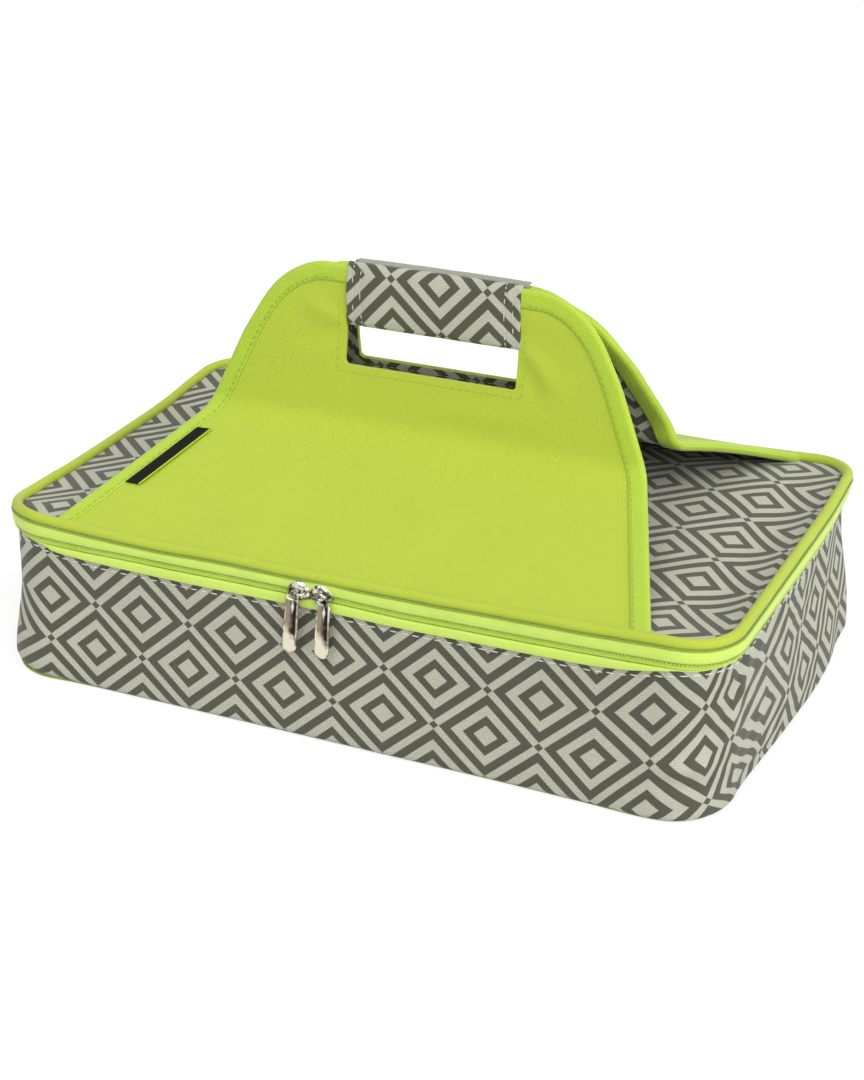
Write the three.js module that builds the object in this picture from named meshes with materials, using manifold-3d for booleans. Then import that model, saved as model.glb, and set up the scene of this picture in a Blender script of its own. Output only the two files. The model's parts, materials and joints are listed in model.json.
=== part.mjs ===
// A casserole carrier: an insulated tub and lid that zip together, with two stand-up handle flaps.
// Millimetres. +Z is up, +X runs along the long side and -Y faces the front, where the zip pulls hang.
// The origin is the middle of the base, on the surface that the carrier stands on.
import * as THREE from "three";
import { mergeVertices } from "three/addons/utils/BufferGeometryUtils.js";
import Module from "manifold-3d";

const wasm = await Module();
wasm.setup();

// Tub, measured over the printed cloth of its side wall
const TUB_LENGTH = 417;
const TUB_DEPTH = 257;
const CORNER_RADIUS = 30;

// Room left between neighbouring pieces, and how far a cutter runs past what it cuts
const FIT_GAP = 0.3;
const OVERRUN = 2;

// Layers of the tub
const SHELL_WALL = 1.2;
const FOAM_WALL = 5;
const LINER_WALL = 0.8;
const BASE_PANEL_WALL = 1.2;
const BASE_FOAM_DEPTH = 4;
const BASE_BOARD_DEPTH = 1.2;
const BASE_PIPING_RADIUS = 1.5;
const BASE_PIPING_LIFT = 0.2;
const BASE_PIPING_OFFSET = -0.4;

// Zip: two coil rows with a slit between them, each under a band of webbing
const ZIP_HEIGHT = 87;
const ZIP_SLIT_HALF = 0.65;
const COIL_RADIUS = 0.8;
const BAND_WALL = 2.4;
const LOWER_BAND_WIDTH = 5.2;
const UPPER_BAND_WIDTH = 3.9;
const SHELL_LAP = 4;
const HINGE_FROM_CORNER = 8.5;
const HINGE_STRIP_WALL = 1;

// Lid
const LID_PIPING_RADIUS = 2.9;
const LID_PIPING_OFFSET = -0.5;
const LID_PANEL_WALL = 1;
const LID_PANEL_RISE = 0.2;
const LID_FOAM_DEPTH = 4.5;
const LID_LINER_WALL = 0.8;

// Flaps: each rises from the piping at the lid's long edge to a crease, and is a trapezium
const SEAM_FROM_END = 37.5;
const SEAM_RISE = 1.5;
const CREASE_INSET = 40;
const CREASE_RISE = 36.8;
const CREASE_FROM_MIDDLE = 25.2;

// Cloth layers of a flap and of a handle, and the binding tape folded over their edges
const CLOTH_WALL = 0.5;
const CORE_WALL = 1.2;
const TAPE_WALL = 0.5;
const TAPE_WIDTH = 10;
const TAPE_EDGE = 0.7;

// Handles: each stands up from its crease and has a hand slot under a padded grip
const HANDLE_RISE = 88.5;
const HANDLE_SIDE_LEAN = 0.425;
const HANDLE_SHOULDER_RADIUS = 47;
const SLOT_BOTTOM = 34.2;
const SLOT_CORNER_RADIUS = 6;
const GRIP_LENGTH = 101;
const GRIP_BOTTOM = 55.9;
const GRIP_PAD_WALL = 2.6;
const SLEEVE_WALL = 0.7;

// Blank label tab beside the front flap's left binding
const LABEL_WIDTH = 8.5;
const LABEL_LENGTH = 50;
const LABEL_FROM_CREASE = 20.4;
const LABEL_WALL = 0.5;

// Zip sliders, which meet nose to nose, and their pulls
const MEETING_X = -12.25;
const SLIDER_LENGTH = 13;
const SLIDER_HEIGHT = 8.4;
const SLIDER_TAIL_HEIGHT = 4.8;
const SLIDER_NOSE_HEIGHT = 3.2;
const SLIDER_WALL = 1;
const INNER_PLATE_LENGTH = 11;
const INNER_PLATE_HEIGHT = 4.8;
const INNER_PLATE_WALL = 1.3;
const POST_LENGTH = 2.5;
const BRIDGE_SPAN = 9;
const BRIDGE_SETBACK = 1.2;
const BRIDGE_RADIUS = 0.6;
const EYE_PLAY = 0.35;
const EYE_WALL = 0.65;
const EYE_WIDTH = 5;
const EYE_SETBACK = 1.2;
const PULL_WIDTH = 7.6;
const PULL_LENGTH = 34.7;
const PULL_WALL = 1.8;

// How finely round shapes are divided
const CORNER_STEPS = 4;
const SHOULDER_STEPS = 5;
const BEAD_STEPS = 3;
const COIL_STEPS = 1;
const SMALL_ROUND_STEPS = 6;

// Shares: the flat core of a bead's radius, and where half a slider is widest and its post starts
const pipingCoreShare = 1 / 8;
const coilCoreShare = 1 / 4;
const leafWidestShare = 1 / 4;
const postStartShare = 1 / 4;

// Lengths along the tub's long side, from its middle
const straightHalf = TUB_LENGTH / 2 - CORNER_RADIUS;
const hingeHalf = straightHalf - HINGE_FROM_CORNER;
const seamHalf = TUB_LENGTH / 2 - SEAM_FROM_END;
const creaseHalf = seamHalf - CREASE_INSET;

// Heights of the tub, from the base up
const baseFoamBottom = BASE_PANEL_WALL + FIT_GAP;
const baseBoardBottom = baseFoamBottom + BASE_FOAM_DEPTH + FIT_GAP;
const linerFloorBottom = baseBoardBottom + BASE_BOARD_DEPTH + FIT_GAP;
const basePipingTop = BASE_PIPING_LIFT + 2 * BASE_PIPING_RADIUS;
const zipHalfHeight = ZIP_SLIT_HALF + 2 * COIL_RADIUS + FIT_GAP;
const lowerBandTop = ZIP_HEIGHT - zipHalfHeight;
const lowerBandBottom = lowerBandTop - LOWER_BAND_WIDTH;
const shellTop = lowerBandBottom + SHELL_LAP;
const linerTop = shellTop - FIT_GAP;
const wallFoamTop = linerTop - LINER_WALL - FIT_GAP;

// Heights of the lid
const upperBandBottom = ZIP_HEIGHT + zipHalfHeight;
const upperBandTop = upperBandBottom + UPPER_BAND_WIDTH;
const bandInside = FIT_GAP;
const bandOutside = bandInside + BAND_WALL;
const pipingDrop = Math.sqrt(LID_PIPING_RADIUS ** 2 - (bandInside - LID_PIPING_OFFSET) ** 2);
const lidPipingHeight = upperBandTop + FIT_GAP + pipingDrop;
const lidTop = lidPipingHeight + LID_PANEL_RISE;
const lidFoamTop = lidTop - LID_PANEL_WALL - FIT_GAP;
const lidLinerBottom = lidFoamTop - LID_FOAM_DEPTH - FIT_GAP - LID_LINER_WALL;
const lidPanelOffset = LID_PIPING_OFFSET - LID_PIPING_RADIUS - FIT_GAP;

// Offsets of the tub's layers, outwards from the face of the side wall
const foamOffset = -SHELL_WALL - FIT_GAP;
const linerOffset = foamOffset - FOAM_WALL - FIT_GAP;
const coilOffset = (bandInside + bandOutside) / 2;
const hingeStripOffset = coilOffset - HINGE_STRIP_WALL / 2;

// Depths of the cloth layers behind the outer face of the binding tape
const canvasDepth = TAPE_WALL + FIT_GAP;
const coreDepth = canvasDepth + CLOTH_WALL + FIT_GAP;
const liningDepth = coreDepth + CORE_WALL + FIT_GAP;
const tapeBackDepth = liningDepth + CLOTH_WALL + FIT_GAP;
const tapeDepth = tapeBackDepth + TAPE_WALL;
const middleDepth = tapeDepth / 2;
const layers = [
  { name: "canvas", near: canvasDepth, far: canvasDepth + CLOTH_WALL },
  { name: "core", near: coreDepth, far: coreDepth + CORE_WALL },
  { name: "lining", near: liningDepth, far: liningDepth + CLOTH_WALL },
];
const layerEdge = TAPE_EDGE + FIT_GAP;

// A flap's slope, from the lid's piping to the crease, and its sides
const seamFromMiddle = TUB_DEPTH / 2 + LID_PIPING_OFFSET - LID_PIPING_RADIUS;
const creaseHeight = lidTop + CREASE_RISE;
const flapRun = seamFromMiddle - CREASE_FROM_MIDDLE;
const flapRise = CREASE_RISE - SEAM_RISE;
const flapSlope = Math.atan2(flapRise, flapRun);
const flapLength = Math.hypot(flapRun, flapRise);
const flapSideLean = CREASE_INSET / flapLength;
const flapSideSecant = Math.hypot(1, flapSideLean);

// A grip's section, and the lean that rests the two grips against each other over the middle
const gripHoleHalf = (liningDepth + CLOTH_WALL - canvasDepth) / 2 + FIT_GAP;
const padHalf = gripHoleHalf + GRIP_PAD_WALL;
const sleeveHalf = padHalf + FIT_GAP + SLEEVE_WALL;
const gripTop = HANDLE_RISE + FIT_GAP;
const sleeveInset = SLEEVE_WALL + FIT_GAP;
const barInset = sleeveInset + GRIP_PAD_WALL + FIT_GAP;
const gripBackDepth = middleDepth + sleeveHalf;
const gripReach = Math.hypot(gripTop, gripBackDepth);
const handleSlope =
  Math.atan2(gripBackDepth, gripTop) + Math.acos((CREASE_FROM_MIDDLE - FIT_GAP) / gripReach);
const slotHalf = GRIP_LENGTH / 2 + FIT_GAP;

// A handle's shoulder, whose radius is limited by the straight top that the grip needs
const handleSideSecant = Math.hypot(1, HANDLE_SIDE_LEAN);
const shoulderRoom =
  (creaseHalf - HANDLE_RISE * HANDLE_SIDE_LEAN - slotHalf) / (handleSideSecant - HANDLE_SIDE_LEAN);
const shoulderRadius = Math.min(HANDLE_SHOULDER_RADIUS, shoulderRoom);
const shoulderY = HANDLE_RISE - shoulderRadius;
const shoulderX = creaseHalf - shoulderY * HANDLE_SIDE_LEAN - shoulderRadius * handleSideSecant;

// A slider's plates and bridge, as offsets outwards from the tub's side wall
const outerPlateInside = bandOutside + FIT_GAP;
const outerPlateOutside = outerPlateInside + SLIDER_WALL;
const innerPlateOutside = bandInside - FIT_GAP;
const eyeRadius = BRIDGE_RADIUS + EYE_PLAY + EYE_WALL;
const bridgeOffset = outerPlateOutside + FIT_GAP + eyeRadius;

const finishes = {
  print: { color: 0x9fa191, roughness: 0.85, metalness: 0 },
  canvas: { color: 0xb9d24b, roughness: 0.75, metalness: 0 },
  tape: { color: 0xa5cd32, roughness: 0.7, metalness: 0 },
  foam: { color: 0xe8e8e4, roughness: 0.9, metalness: 0 },
  liner: { color: 0xc9ccd0, roughness: 0.4, metalness: 0 },
  board: { color: 0x5a5c5e, roughness: 0.6, metalness: 0 },
  label: { color: 0x141414, roughness: 0.6, metalness: 0 },
  metal: { color: 0xb8b8b4, roughness: 0.25, metalness: 1 },
};

const carrier = new THREE.Group();

function addPiece(parent, name, geometry, finish) {
  const mesh = new THREE.Mesh(geometry, new THREE.MeshStandardMaterial(finishes[finish]));
  mesh.name = name;
  parent.add(mesh);
  return mesh;
}

// Joins and cuts

function toSolid(geometry) {
  const bare = geometry.clone();
  bare.deleteAttribute("normal");
  bare.deleteAttribute("uv");
  const merged = mergeVertices(bare);
  const { array } = merged.attributes.position;
  return new wasm.Manifold(
    new wasm.Mesh({ numProp: 3, vertProperties: array, triVerts: new Uint32Array(merged.index.array) }),
  );
}

function toGeometry(solid) {
  const mesh = solid.getMesh();
  const geometry = new THREE.BufferGeometry();
  geometry.setAttribute("position", new THREE.BufferAttribute(mesh.vertProperties, 3));
  geometry.setIndex(new THREE.BufferAttribute(mesh.triVerts, 1));
  return geometry;
}

function cut(geometry, cutter) {
  return toGeometry(toSolid(geometry).subtract(toSolid(cutter)));
}

function join(geometries) {
  return toGeometry(geometries.map(toSolid).reduce((whole, piece) => whole.add(piece)));
}

// Shapes that follow the tub's rounded outline

function traceOutline(path, offset) {
  const x = straightHalf;
  const y = TUB_DEPTH / 2 - CORNER_RADIUS;
  const radius = CORNER_RADIUS + offset;
  path.absarc(x, -y, radius, -Math.PI / 2, 0);
  path.absarc(x, y, radius, 0, Math.PI / 2);
  path.absarc(-x, y, radius, Math.PI / 2, Math.PI);
  path.absarc(-x, -y, radius, Math.PI, (3 * Math.PI) / 2);
  path.closePath();
  return path;
}

function extrudeUp(shape, bottom, top) {
  const geometry = new THREE.ExtrudeGeometry(shape, {
    depth: top - bottom,
    bevelEnabled: false,
    curveSegments: CORNER_STEPS,
  });
  return geometry.translate(0, 0, bottom);
}

function plate(offset, bottom, top) {
  return extrudeUp(traceOutline(new THREE.Shape(), offset), bottom, top);
}

function ringShape(outside, inside) {
  const shape = traceOutline(new THREE.Shape(), outside);
  shape.holes.push(traceOutline(new THREE.Path(), inside));
  return shape;
}

function wall(outside, inside, bottom, top) {
  return extrudeUp(ringShape(outside, inside), bottom, top);
}

// A round-edged bead swept round an outline: its flat core is thin, and the bevel gives the radius.
function bead(shape, radius, height, core, steps) {
  const geometry = new THREE.ExtrudeGeometry(shape, {
    depth: 2 * core,
    bevelThickness: radius - core,
    bevelSize: radius - core,
    bevelSegments: steps,
    curveSegments: CORNER_STEPS,
  });
  return geometry.translate(0, 0, height - core);
}

function piping(offset, radius, height) {
  const core = radius * pipingCoreShare;
  return bead(ringShape(offset + core, offset - core), radius, height, core, BEAD_STEPS);
}

// A coil row runs from one end of the hinge, round all four corners, to the other end.
function coilRow(height) {
  const core = COIL_RADIUS * coilCoreShare;
  const x = straightHalf;
  const y = TUB_DEPTH / 2 - CORNER_RADIUS;
  const end = hingeHalf + FIT_GAP + COIL_RADIUS;
  const outside = CORNER_RADIUS + coilOffset + core;
  const inside = CORNER_RADIUS + coilOffset - core;
  const shape = new THREE.Shape();
  shape.moveTo(-end, y + outside);
  shape.lineTo(-x, y + outside);
  shape.absarc(-x, y, outside, Math.PI / 2, Math.PI);
  shape.absarc(-x, -y, outside, Math.PI, (3 * Math.PI) / 2);
  shape.absarc(x, -y, outside, -Math.PI / 2, 0);
  shape.absarc(x, y, outside, 0, Math.PI / 2);
  shape.lineTo(end, y + outside);
  shape.lineTo(end, y + inside);
  shape.absarc(x, y, inside, Math.PI / 2, 0, true);
  shape.absarc(x, -y, inside, 0, -Math.PI / 2, true);
  shape.absarc(-x, -y, inside, (3 * Math.PI) / 2, Math.PI, true);
  shape.absarc(-x, y, inside, Math.PI, Math.PI / 2, true);
  shape.lineTo(-end, y + inside);
  shape.closePath();
  return bead(shape, COIL_RADIUS, height, core, COIL_STEPS);
}

// Tub

function addTub() {
  const floorBottom = linerFloorBottom;
  const panelOffset = BASE_PIPING_OFFSET - BASE_PIPING_RADIUS - FIT_GAP;
  const pipingHeight = BASE_PIPING_LIFT + BASE_PIPING_RADIUS;
  const wallBottom = basePipingTop + FIT_GAP;
  addPiece(carrier, "base_panel", plate(panelOffset, 0, BASE_PANEL_WALL), "print");
  addPiece(carrier, "base_piping", piping(BASE_PIPING_OFFSET, BASE_PIPING_RADIUS, pipingHeight), "tape");
  addPiece(carrier, "outer_shell", wall(0, -SHELL_WALL, wallBottom, shellTop), "print");
  addPiece(carrier, "wall_foam", wall(foamOffset, foamOffset - FOAM_WALL, wallBottom, wallFoamTop), "foam");
  addPiece(
    carrier,
    "base_foam",
    plate(linerOffset, baseFoamBottom, baseFoamBottom + BASE_FOAM_DEPTH),
    "foam",
  );
  addPiece(
    carrier,
    "base_board",
    plate(linerOffset, baseBoardBottom, baseBoardBottom + BASE_BOARD_DEPTH),
    "board",
  );
  const linerBlock = join([
    plate(linerOffset, floorBottom, linerTop),
    plate(foamOffset, linerTop - LINER_WALL, linerTop),
  ]);
  const cavity = plate(linerOffset - LINER_WALL, floorBottom + LINER_WALL, linerTop + OVERRUN);
  addPiece(carrier, "tub_liner", cut(linerBlock, cavity), "liner");
  addPiece(carrier, "lower_zip_band", wall(bandOutside, bandInside, lowerBandBottom, lowerBandTop), "tape");
  addPiece(carrier, "lower_zip_coil", coilRow(ZIP_HEIGHT - ZIP_SLIT_HALF - COIL_RADIUS), "tape");
  const strip = new THREE.BoxGeometry(
    2 * hingeHalf,
    HINGE_STRIP_WALL,
    2 * (zipHalfHeight - FIT_GAP),
  );
  strip.translate(0, TUB_DEPTH / 2 + hingeStripOffset + HINGE_STRIP_WALL / 2, ZIP_HEIGHT);
  addPiece(carrier, "hinge_strip", strip, "tape");
}

// Lid

function addLid() {
  const foamEdge = lidPanelOffset - LID_LINER_WALL - FIT_GAP;
  const foamBottom = lidFoamTop - LID_FOAM_DEPTH;
  addPiece(carrier, "lid_panel", plate(lidPanelOffset, lidTop - LID_PANEL_WALL, lidTop), "print");
  addPiece(carrier, "lid_piping", piping(LID_PIPING_OFFSET, LID_PIPING_RADIUS, lidPipingHeight), "tape");
  addPiece(carrier, "lid_foam", plate(foamEdge, foamBottom, lidFoamTop), "foam");
  const hollow = plate(foamEdge + FIT_GAP, foamBottom - FIT_GAP, lidFoamTop + OVERRUN);
  addPiece(carrier, "lid_liner", cut(plate(lidPanelOffset, lidLinerBottom, lidFoamTop), hollow), "liner");
  addPiece(carrier, "upper_zip_band", wall(bandOutside, bandInside, upperBandBottom, upperBandTop), "tape");
  addPiece(carrier, "upper_zip_coil", coilRow(ZIP_HEIGHT + ZIP_SLIT_HALF + COIL_RADIUS), "tape");
}

// Flaps and handles are drawn flat, with x along the crease, y up the cloth and z out of its face.
// Depths run back from z = 0, which is the outer face of the binding tape.

function extrudeDepth(points, near, far, hole) {
  const shape = new THREE.Shape(points);
  if (hole) shape.holes.push(hole);
  const geometry = new THREE.ExtrudeGeometry(shape, {
    depth: far - near,
    bevelEnabled: false,
    curveSegments: SHOULDER_STEPS,
  });
  return geometry.translate(0, 0, -far);
}

function mirrored(points) {
  return points.map((p) => new THREE.Vector2(-p.x, p.y));
}

// How far below the crease a flap layer can reach: to just over the lid, or to the piping.
function flapReach(far) {
  const overLid = CREASE_RISE - FIT_GAP - far * Math.cos(flapSlope);
  const toPiping = flapRun - FIT_GAP - canvasDepth * Math.sin(flapSlope);
  return Math.min(overLid / Math.sin(flapSlope), toPiping / Math.cos(flapSlope));
}

// Half the flap's width at a distance below the crease, less an inset from its slanted side
function flapHalf(below, inset) {
  return creaseHalf + below * flapSideLean - inset * flapSideSecant;
}

function flapTrapezium(inset, reach) {
  const low = flapHalf(reach, inset);
  const high = flapHalf(FIT_GAP, inset);
  return [
    new THREE.Vector2(-low, -reach),
    new THREE.Vector2(low, -reach),
    new THREE.Vector2(high, -FIT_GAP),
    new THREE.Vector2(-high, -FIT_GAP),
  ];
}

function flapStrip(outerInset, innerInset, bottom, top) {
  return [
    new THREE.Vector2(flapHalf(bottom, outerInset), -bottom),
    new THREE.Vector2(flapHalf(top, outerInset), -top),
    new THREE.Vector2(flapHalf(top, innerInset), -top),
    new THREE.Vector2(flapHalf(bottom, innerInset), -bottom),
  ];
}

function addBinding(parent, name, strip, slab) {
  const folded = extrudeDepth(strip, 0, tapeDepth);
  const pocket = extrudeDepth(slab, TAPE_WALL, tapeBackDepth);
  addPiece(parent, name, cut(folded, pocket), "tape");
}

function addFlap(parent, side) {
  const flap = new THREE.Group();
  flap.position.set(0, -CREASE_FROM_MIDDLE, creaseHeight);
  flap.rotation.x = flapSlope;
  for (const layer of layers) {
    const outline = flapTrapezium(layerEdge, flapReach(layer.far));
    const finish = { canvas: "canvas", core: "foam", lining: "print" }[layer.name];
    addPiece(flap, `${side}_flap_${layer.name}`, extrudeDepth(outline, layer.near, layer.far), finish);
  }
  const tapeReach = flapReach(tapeDepth);
  const strip = flapStrip(0, TAPE_WIDTH, tapeReach, FIT_GAP);
  const slab = flapStrip(TAPE_EDGE, TAPE_WIDTH + OVERRUN, tapeReach + OVERRUN, FIT_GAP - OVERRUN);
  addBinding(flap, `${side}_flap_binding_right`, strip, slab);
  addBinding(flap, `${side}_flap_binding_left`, mirrored(strip), mirrored(slab));
  parent.add(flap);
  return flap;
}

function addLabel(flap) {
  const bottom = LABEL_FROM_CREASE + LABEL_LENGTH;
  const near = TAPE_WIDTH + FIT_GAP;
  const outline = mirrored(flapStrip(near, near + LABEL_WIDTH, bottom, LABEL_FROM_CREASE));
  const back = canvasDepth - FIT_GAP;
  addPiece(flap, "label_tab", extrudeDepth(outline, back - LABEL_WALL, back), "label");
}

// The right half of a handle's outline, from the crease round the shoulder to a distance from the
// middle. Its straight side and its top are set in alike, about the shoulder's one centre.
function shoulder(inset, bottom, endX) {
  const side = Math.atan2(1, -HANDLE_SIDE_LEAN);
  const radius = shoulderRadius - inset;
  const startX = creaseHalf - inset * handleSideSecant - bottom * HANDLE_SIDE_LEAN;
  const path = new THREE.Path();
  const start = side - Math.PI / 2;
  path.moveTo(startX, bottom);
  path.lineTo(shoulderX + radius * Math.cos(start), shoulderY + radius * Math.sin(start));
  path.absarc(shoulderX, shoulderY, radius, start, Math.PI / 2);
  path.lineTo(endX, HANDLE_RISE - inset);
  return path.getPoints(SHOULDER_STEPS);
}

function handleOutline(inset, bottom) {
  const right = shoulder(inset, bottom, slotHalf);
  const barTop = gripTop - barInset;
  right.push(new THREE.Vector2(slotHalf, barTop));
  return [...right, ...mirrored(right).reverse()];
}

function slotHole() {
  const barBottom = GRIP_BOTTOM + barInset;
  const x = slotHalf - SLOT_CORNER_RADIUS;
  const y = SLOT_BOTTOM + SLOT_CORNER_RADIUS;
  const hole = new THREE.Path();
  hole.moveTo(-slotHalf, barBottom);
  hole.lineTo(-slotHalf, y);
  hole.absarc(-x, y, SLOT_CORNER_RADIUS, Math.PI, (3 * Math.PI) / 2);
  hole.absarc(x, y, SLOT_CORNER_RADIUS, -Math.PI / 2, 0);
  hole.lineTo(slotHalf, barBottom);
  hole.closePath();
  return hole;
}

function bindingStrip(outerInset, innerInset, bottom, endX) {
  const outer = shoulder(outerInset, bottom, endX);
  const inner = shoulder(innerInset, bottom, endX);
  return [...outer, ...inner.reverse()];
}

// A flattened tube round the handle's bar, with round edges, drawn as its section
function gripTube(outer, hole) {
  const section = traceRound(new THREE.Shape(), outer);
  section.holes.push(traceRound(new THREE.Path(), hole));
  const geometry = new THREE.ExtrudeGeometry(section, {
    depth: GRIP_LENGTH,
    bevelEnabled: false,
    curveSegments: SHOULDER_STEPS,
  });
  const up = new THREE.Vector3(0, 1, 0);
  const out = new THREE.Vector3(0, 0, 1);
  const along = new THREE.Vector3(1, 0, 0);
  geometry.applyMatrix4(new THREE.Matrix4().makeBasis(up, out, along));
  return geometry.translate(-GRIP_LENGTH / 2, 0, -middleDepth);
}

function traceRound(path, { inset, half, radius }) {
  const low = GRIP_BOTTOM + inset;
  const high = gripTop - inset;
  const flat = half - radius;
  path.absarc(high - radius, -flat, radius, -Math.PI / 2, 0);
  path.absarc(high - radius, flat, radius, 0, Math.PI / 2);
  path.absarc(low + radius, flat, radius, Math.PI / 2, Math.PI);
  path.absarc(low + radius, -flat, radius, Math.PI, (3 * Math.PI) / 2);
  path.closePath();
  return path;
}

function addHandle(parent, side) {
  const handle = new THREE.Group();
  handle.position.set(0, -CREASE_FROM_MIDDLE, creaseHeight);
  handle.rotation.x = handleSlope;
  for (const layer of layers) {
    const outline = handleOutline(layerEdge, FIT_GAP);
    const finish = { canvas: "canvas", core: "board", lining: "print" }[layer.name];
    const geometry = extrudeDepth(outline, layer.near, layer.far, slotHole());
    addPiece(handle, `${side}_handle_${layer.name}`, geometry, finish);
  }
  const strip = bindingStrip(0, TAPE_WIDTH, FIT_GAP, slotHalf);
  const slab = bindingStrip(TAPE_EDGE, TAPE_WIDTH + OVERRUN, FIT_GAP - OVERRUN, slotHalf - OVERRUN);
  addBinding(handle, `${side}_handle_binding_right`, strip, slab);
  addBinding(handle, `${side}_handle_binding_left`, mirrored(strip), mirrored(slab));
  const sleeveFace = { inset: 0, half: sleeveHalf, radius: sleeveHalf };
  const sleeveLining = { inset: SLEEVE_WALL, half: padHalf + FIT_GAP, radius: padHalf + FIT_GAP };
  const padFace = { inset: sleeveInset, half: padHalf, radius: padHalf };
  const barHole = { inset: barInset - FIT_GAP, half: gripHoleHalf, radius: gripHoleHalf / 2 };
  addPiece(handle, `${side}_grip_sleeve`, gripTube(sleeveFace, sleeveLining), "print");
  addPiece(handle, `${side}_grip_pad`, gripTube(padFace, barHole), "foam");
  parent.add(handle);
}

function addHandleSide(side, turn) {
  const half = new THREE.Group();
  half.rotation.z = turn;
  const flap = addFlap(half, side);
  if (side === "front") addLabel(flap);
  addHandle(half, side);
  carrier.add(half);
}

// Sliders are drawn with x along the zip, y as the offset into the tub and z up, about the zip's line.

function sliderBox(x0, x1, outside, inside, halfHeight) {
  const box = new THREE.BoxGeometry(x1 - x0, outside - inside, 2 * halfHeight);
  return box.translate((x0 + x1) / 2, -(outside + inside) / 2, 0);
}

function sliderLeaf(nose) {
  const half = SLIDER_LENGTH / 2;
  const widest = half * leafWidestShare;
  const outline = [
    new THREE.Vector2(-half * nose, -SLIDER_TAIL_HEIGHT / 2),
    new THREE.Vector2(widest * nose, -SLIDER_HEIGHT / 2),
    new THREE.Vector2(half * nose, -SLIDER_NOSE_HEIGHT / 2),
    new THREE.Vector2(half * nose, SLIDER_NOSE_HEIGHT / 2),
    new THREE.Vector2(widest * nose, SLIDER_HEIGHT / 2),
    new THREE.Vector2(-half * nose, SLIDER_TAIL_HEIGHT / 2),
  ];
  const leaf = new THREE.ExtrudeGeometry(new THREE.Shape(outline), {
    depth: SLIDER_WALL,
    bevelEnabled: false,
  });
  leaf.rotateX(Math.PI / 2);
  return leaf.translate(0, -outerPlateInside, 0);
}

function sliderBody(nose) {
  const innerHalf = INNER_PLATE_LENGTH / 2;
  const postMiddle = ((SLIDER_LENGTH / 2) * postStartShare + POST_LENGTH / 2) * nose;
  const footInside = outerPlateInside + SLIDER_WALL / 2;
  const bridgeFoot = (x) =>
    sliderBox(x - BRIDGE_RADIUS, x + BRIDGE_RADIUS, bridgeOffset + BRIDGE_RADIUS, footInside, BRIDGE_RADIUS);
  const bridgeMiddle = -BRIDGE_SETBACK * nose;
  const bar = new THREE.CylinderGeometry(BRIDGE_RADIUS, BRIDGE_RADIUS, BRIDGE_SPAN, 2 * SMALL_ROUND_STEPS);
  bar.rotateZ(Math.PI / 2).translate(bridgeMiddle, -bridgeOffset, 0);
  return join([
    sliderLeaf(nose),
    sliderBox(
      -innerHalf,
      innerHalf,
      innerPlateOutside,
      innerPlateOutside - INNER_PLATE_WALL,
      INNER_PLATE_HEIGHT / 2,
    ),
    sliderBox(
      postMiddle - POST_LENGTH / 2,
      postMiddle + POST_LENGTH / 2,
      footInside,
      innerPlateOutside - INNER_PLATE_WALL / 2,
      ZIP_SLIT_HALF - FIT_GAP,
    ),
    bridgeFoot(bridgeMiddle - BRIDGE_SPAN / 2),
    bridgeFoot(bridgeMiddle + BRIDGE_SPAN / 2),
    bar,
  ]);
}

// A pull is a plate with a round end, hung by an eye that turns on the slider's bridge.
function pullTab() {
  const half = PULL_WIDTH / 2;
  const shape = new THREE.Shape();
  shape.moveTo(-EYE_WIDTH / 2, -BRIDGE_RADIUS - EYE_PLAY - EYE_WALL / 2);
  shape.lineTo(-half, -PULL_WIDTH);
  shape.absarc(0, -PULL_LENGTH + half, half, Math.PI, 2 * Math.PI);
  shape.lineTo(half, -PULL_WIDTH);
  shape.lineTo(EYE_WIDTH / 2, -BRIDGE_RADIUS - EYE_PLAY - EYE_WALL / 2);
  shape.closePath();
  const tab = new THREE.ExtrudeGeometry(shape, {
    depth: PULL_WALL,
    bevelEnabled: false,
    curveSegments: SMALL_ROUND_STEPS,
  });
  tab.rotateX(Math.PI / 2).translate(0, PULL_WALL / 2, 0);
  const ring = new THREE.Shape();
  ring.absarc(0, 0, eyeRadius, 0, 2 * Math.PI);
  const bore = new THREE.Path();
  bore.absarc(0, 0, BRIDGE_RADIUS + EYE_PLAY, 0, 2 * Math.PI);
  ring.holes.push(bore);
  const eye = new THREE.ExtrudeGeometry(ring, {
    depth: EYE_WIDTH,
    bevelEnabled: false,
    curveSegments: SMALL_ROUND_STEPS,
  });
  eye.rotateY(Math.PI / 2).translate(-EYE_WIDTH / 2, 0, 0);
  return join([tab, eye]);
}

function addSlider(side, nose) {
  const slider = new THREE.Group();
  const x = MEETING_X - ((SLIDER_LENGTH + FIT_GAP) / 2) * nose;
  slider.position.set(x, -TUB_DEPTH / 2, ZIP_HEIGHT);
  addPiece(slider, `${side}_slider`, sliderBody(nose), "metal");
  const pull = addPiece(slider, `${side}_pull`, pullTab(), "metal");
  pull.position.set(-(BRIDGE_SETBACK + EYE_SETBACK) * nose, -bridgeOffset, 0);
  carrier.add(slider);
}

addTub();
addLid();
addHandleSide("front", 0);
addHandleSide("rear", Math.PI);
addSlider("left", 1);
addSlider("right", -1);

export default carrier;
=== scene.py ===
"""The looks of a casserole carrier: printed cloth, lime canvas, bindings, zip, grips and lining."""
import json
import math
from functools import lru_cache

import bmesh
import bpy
from mathutils import Matrix, Vector, noise


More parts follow.
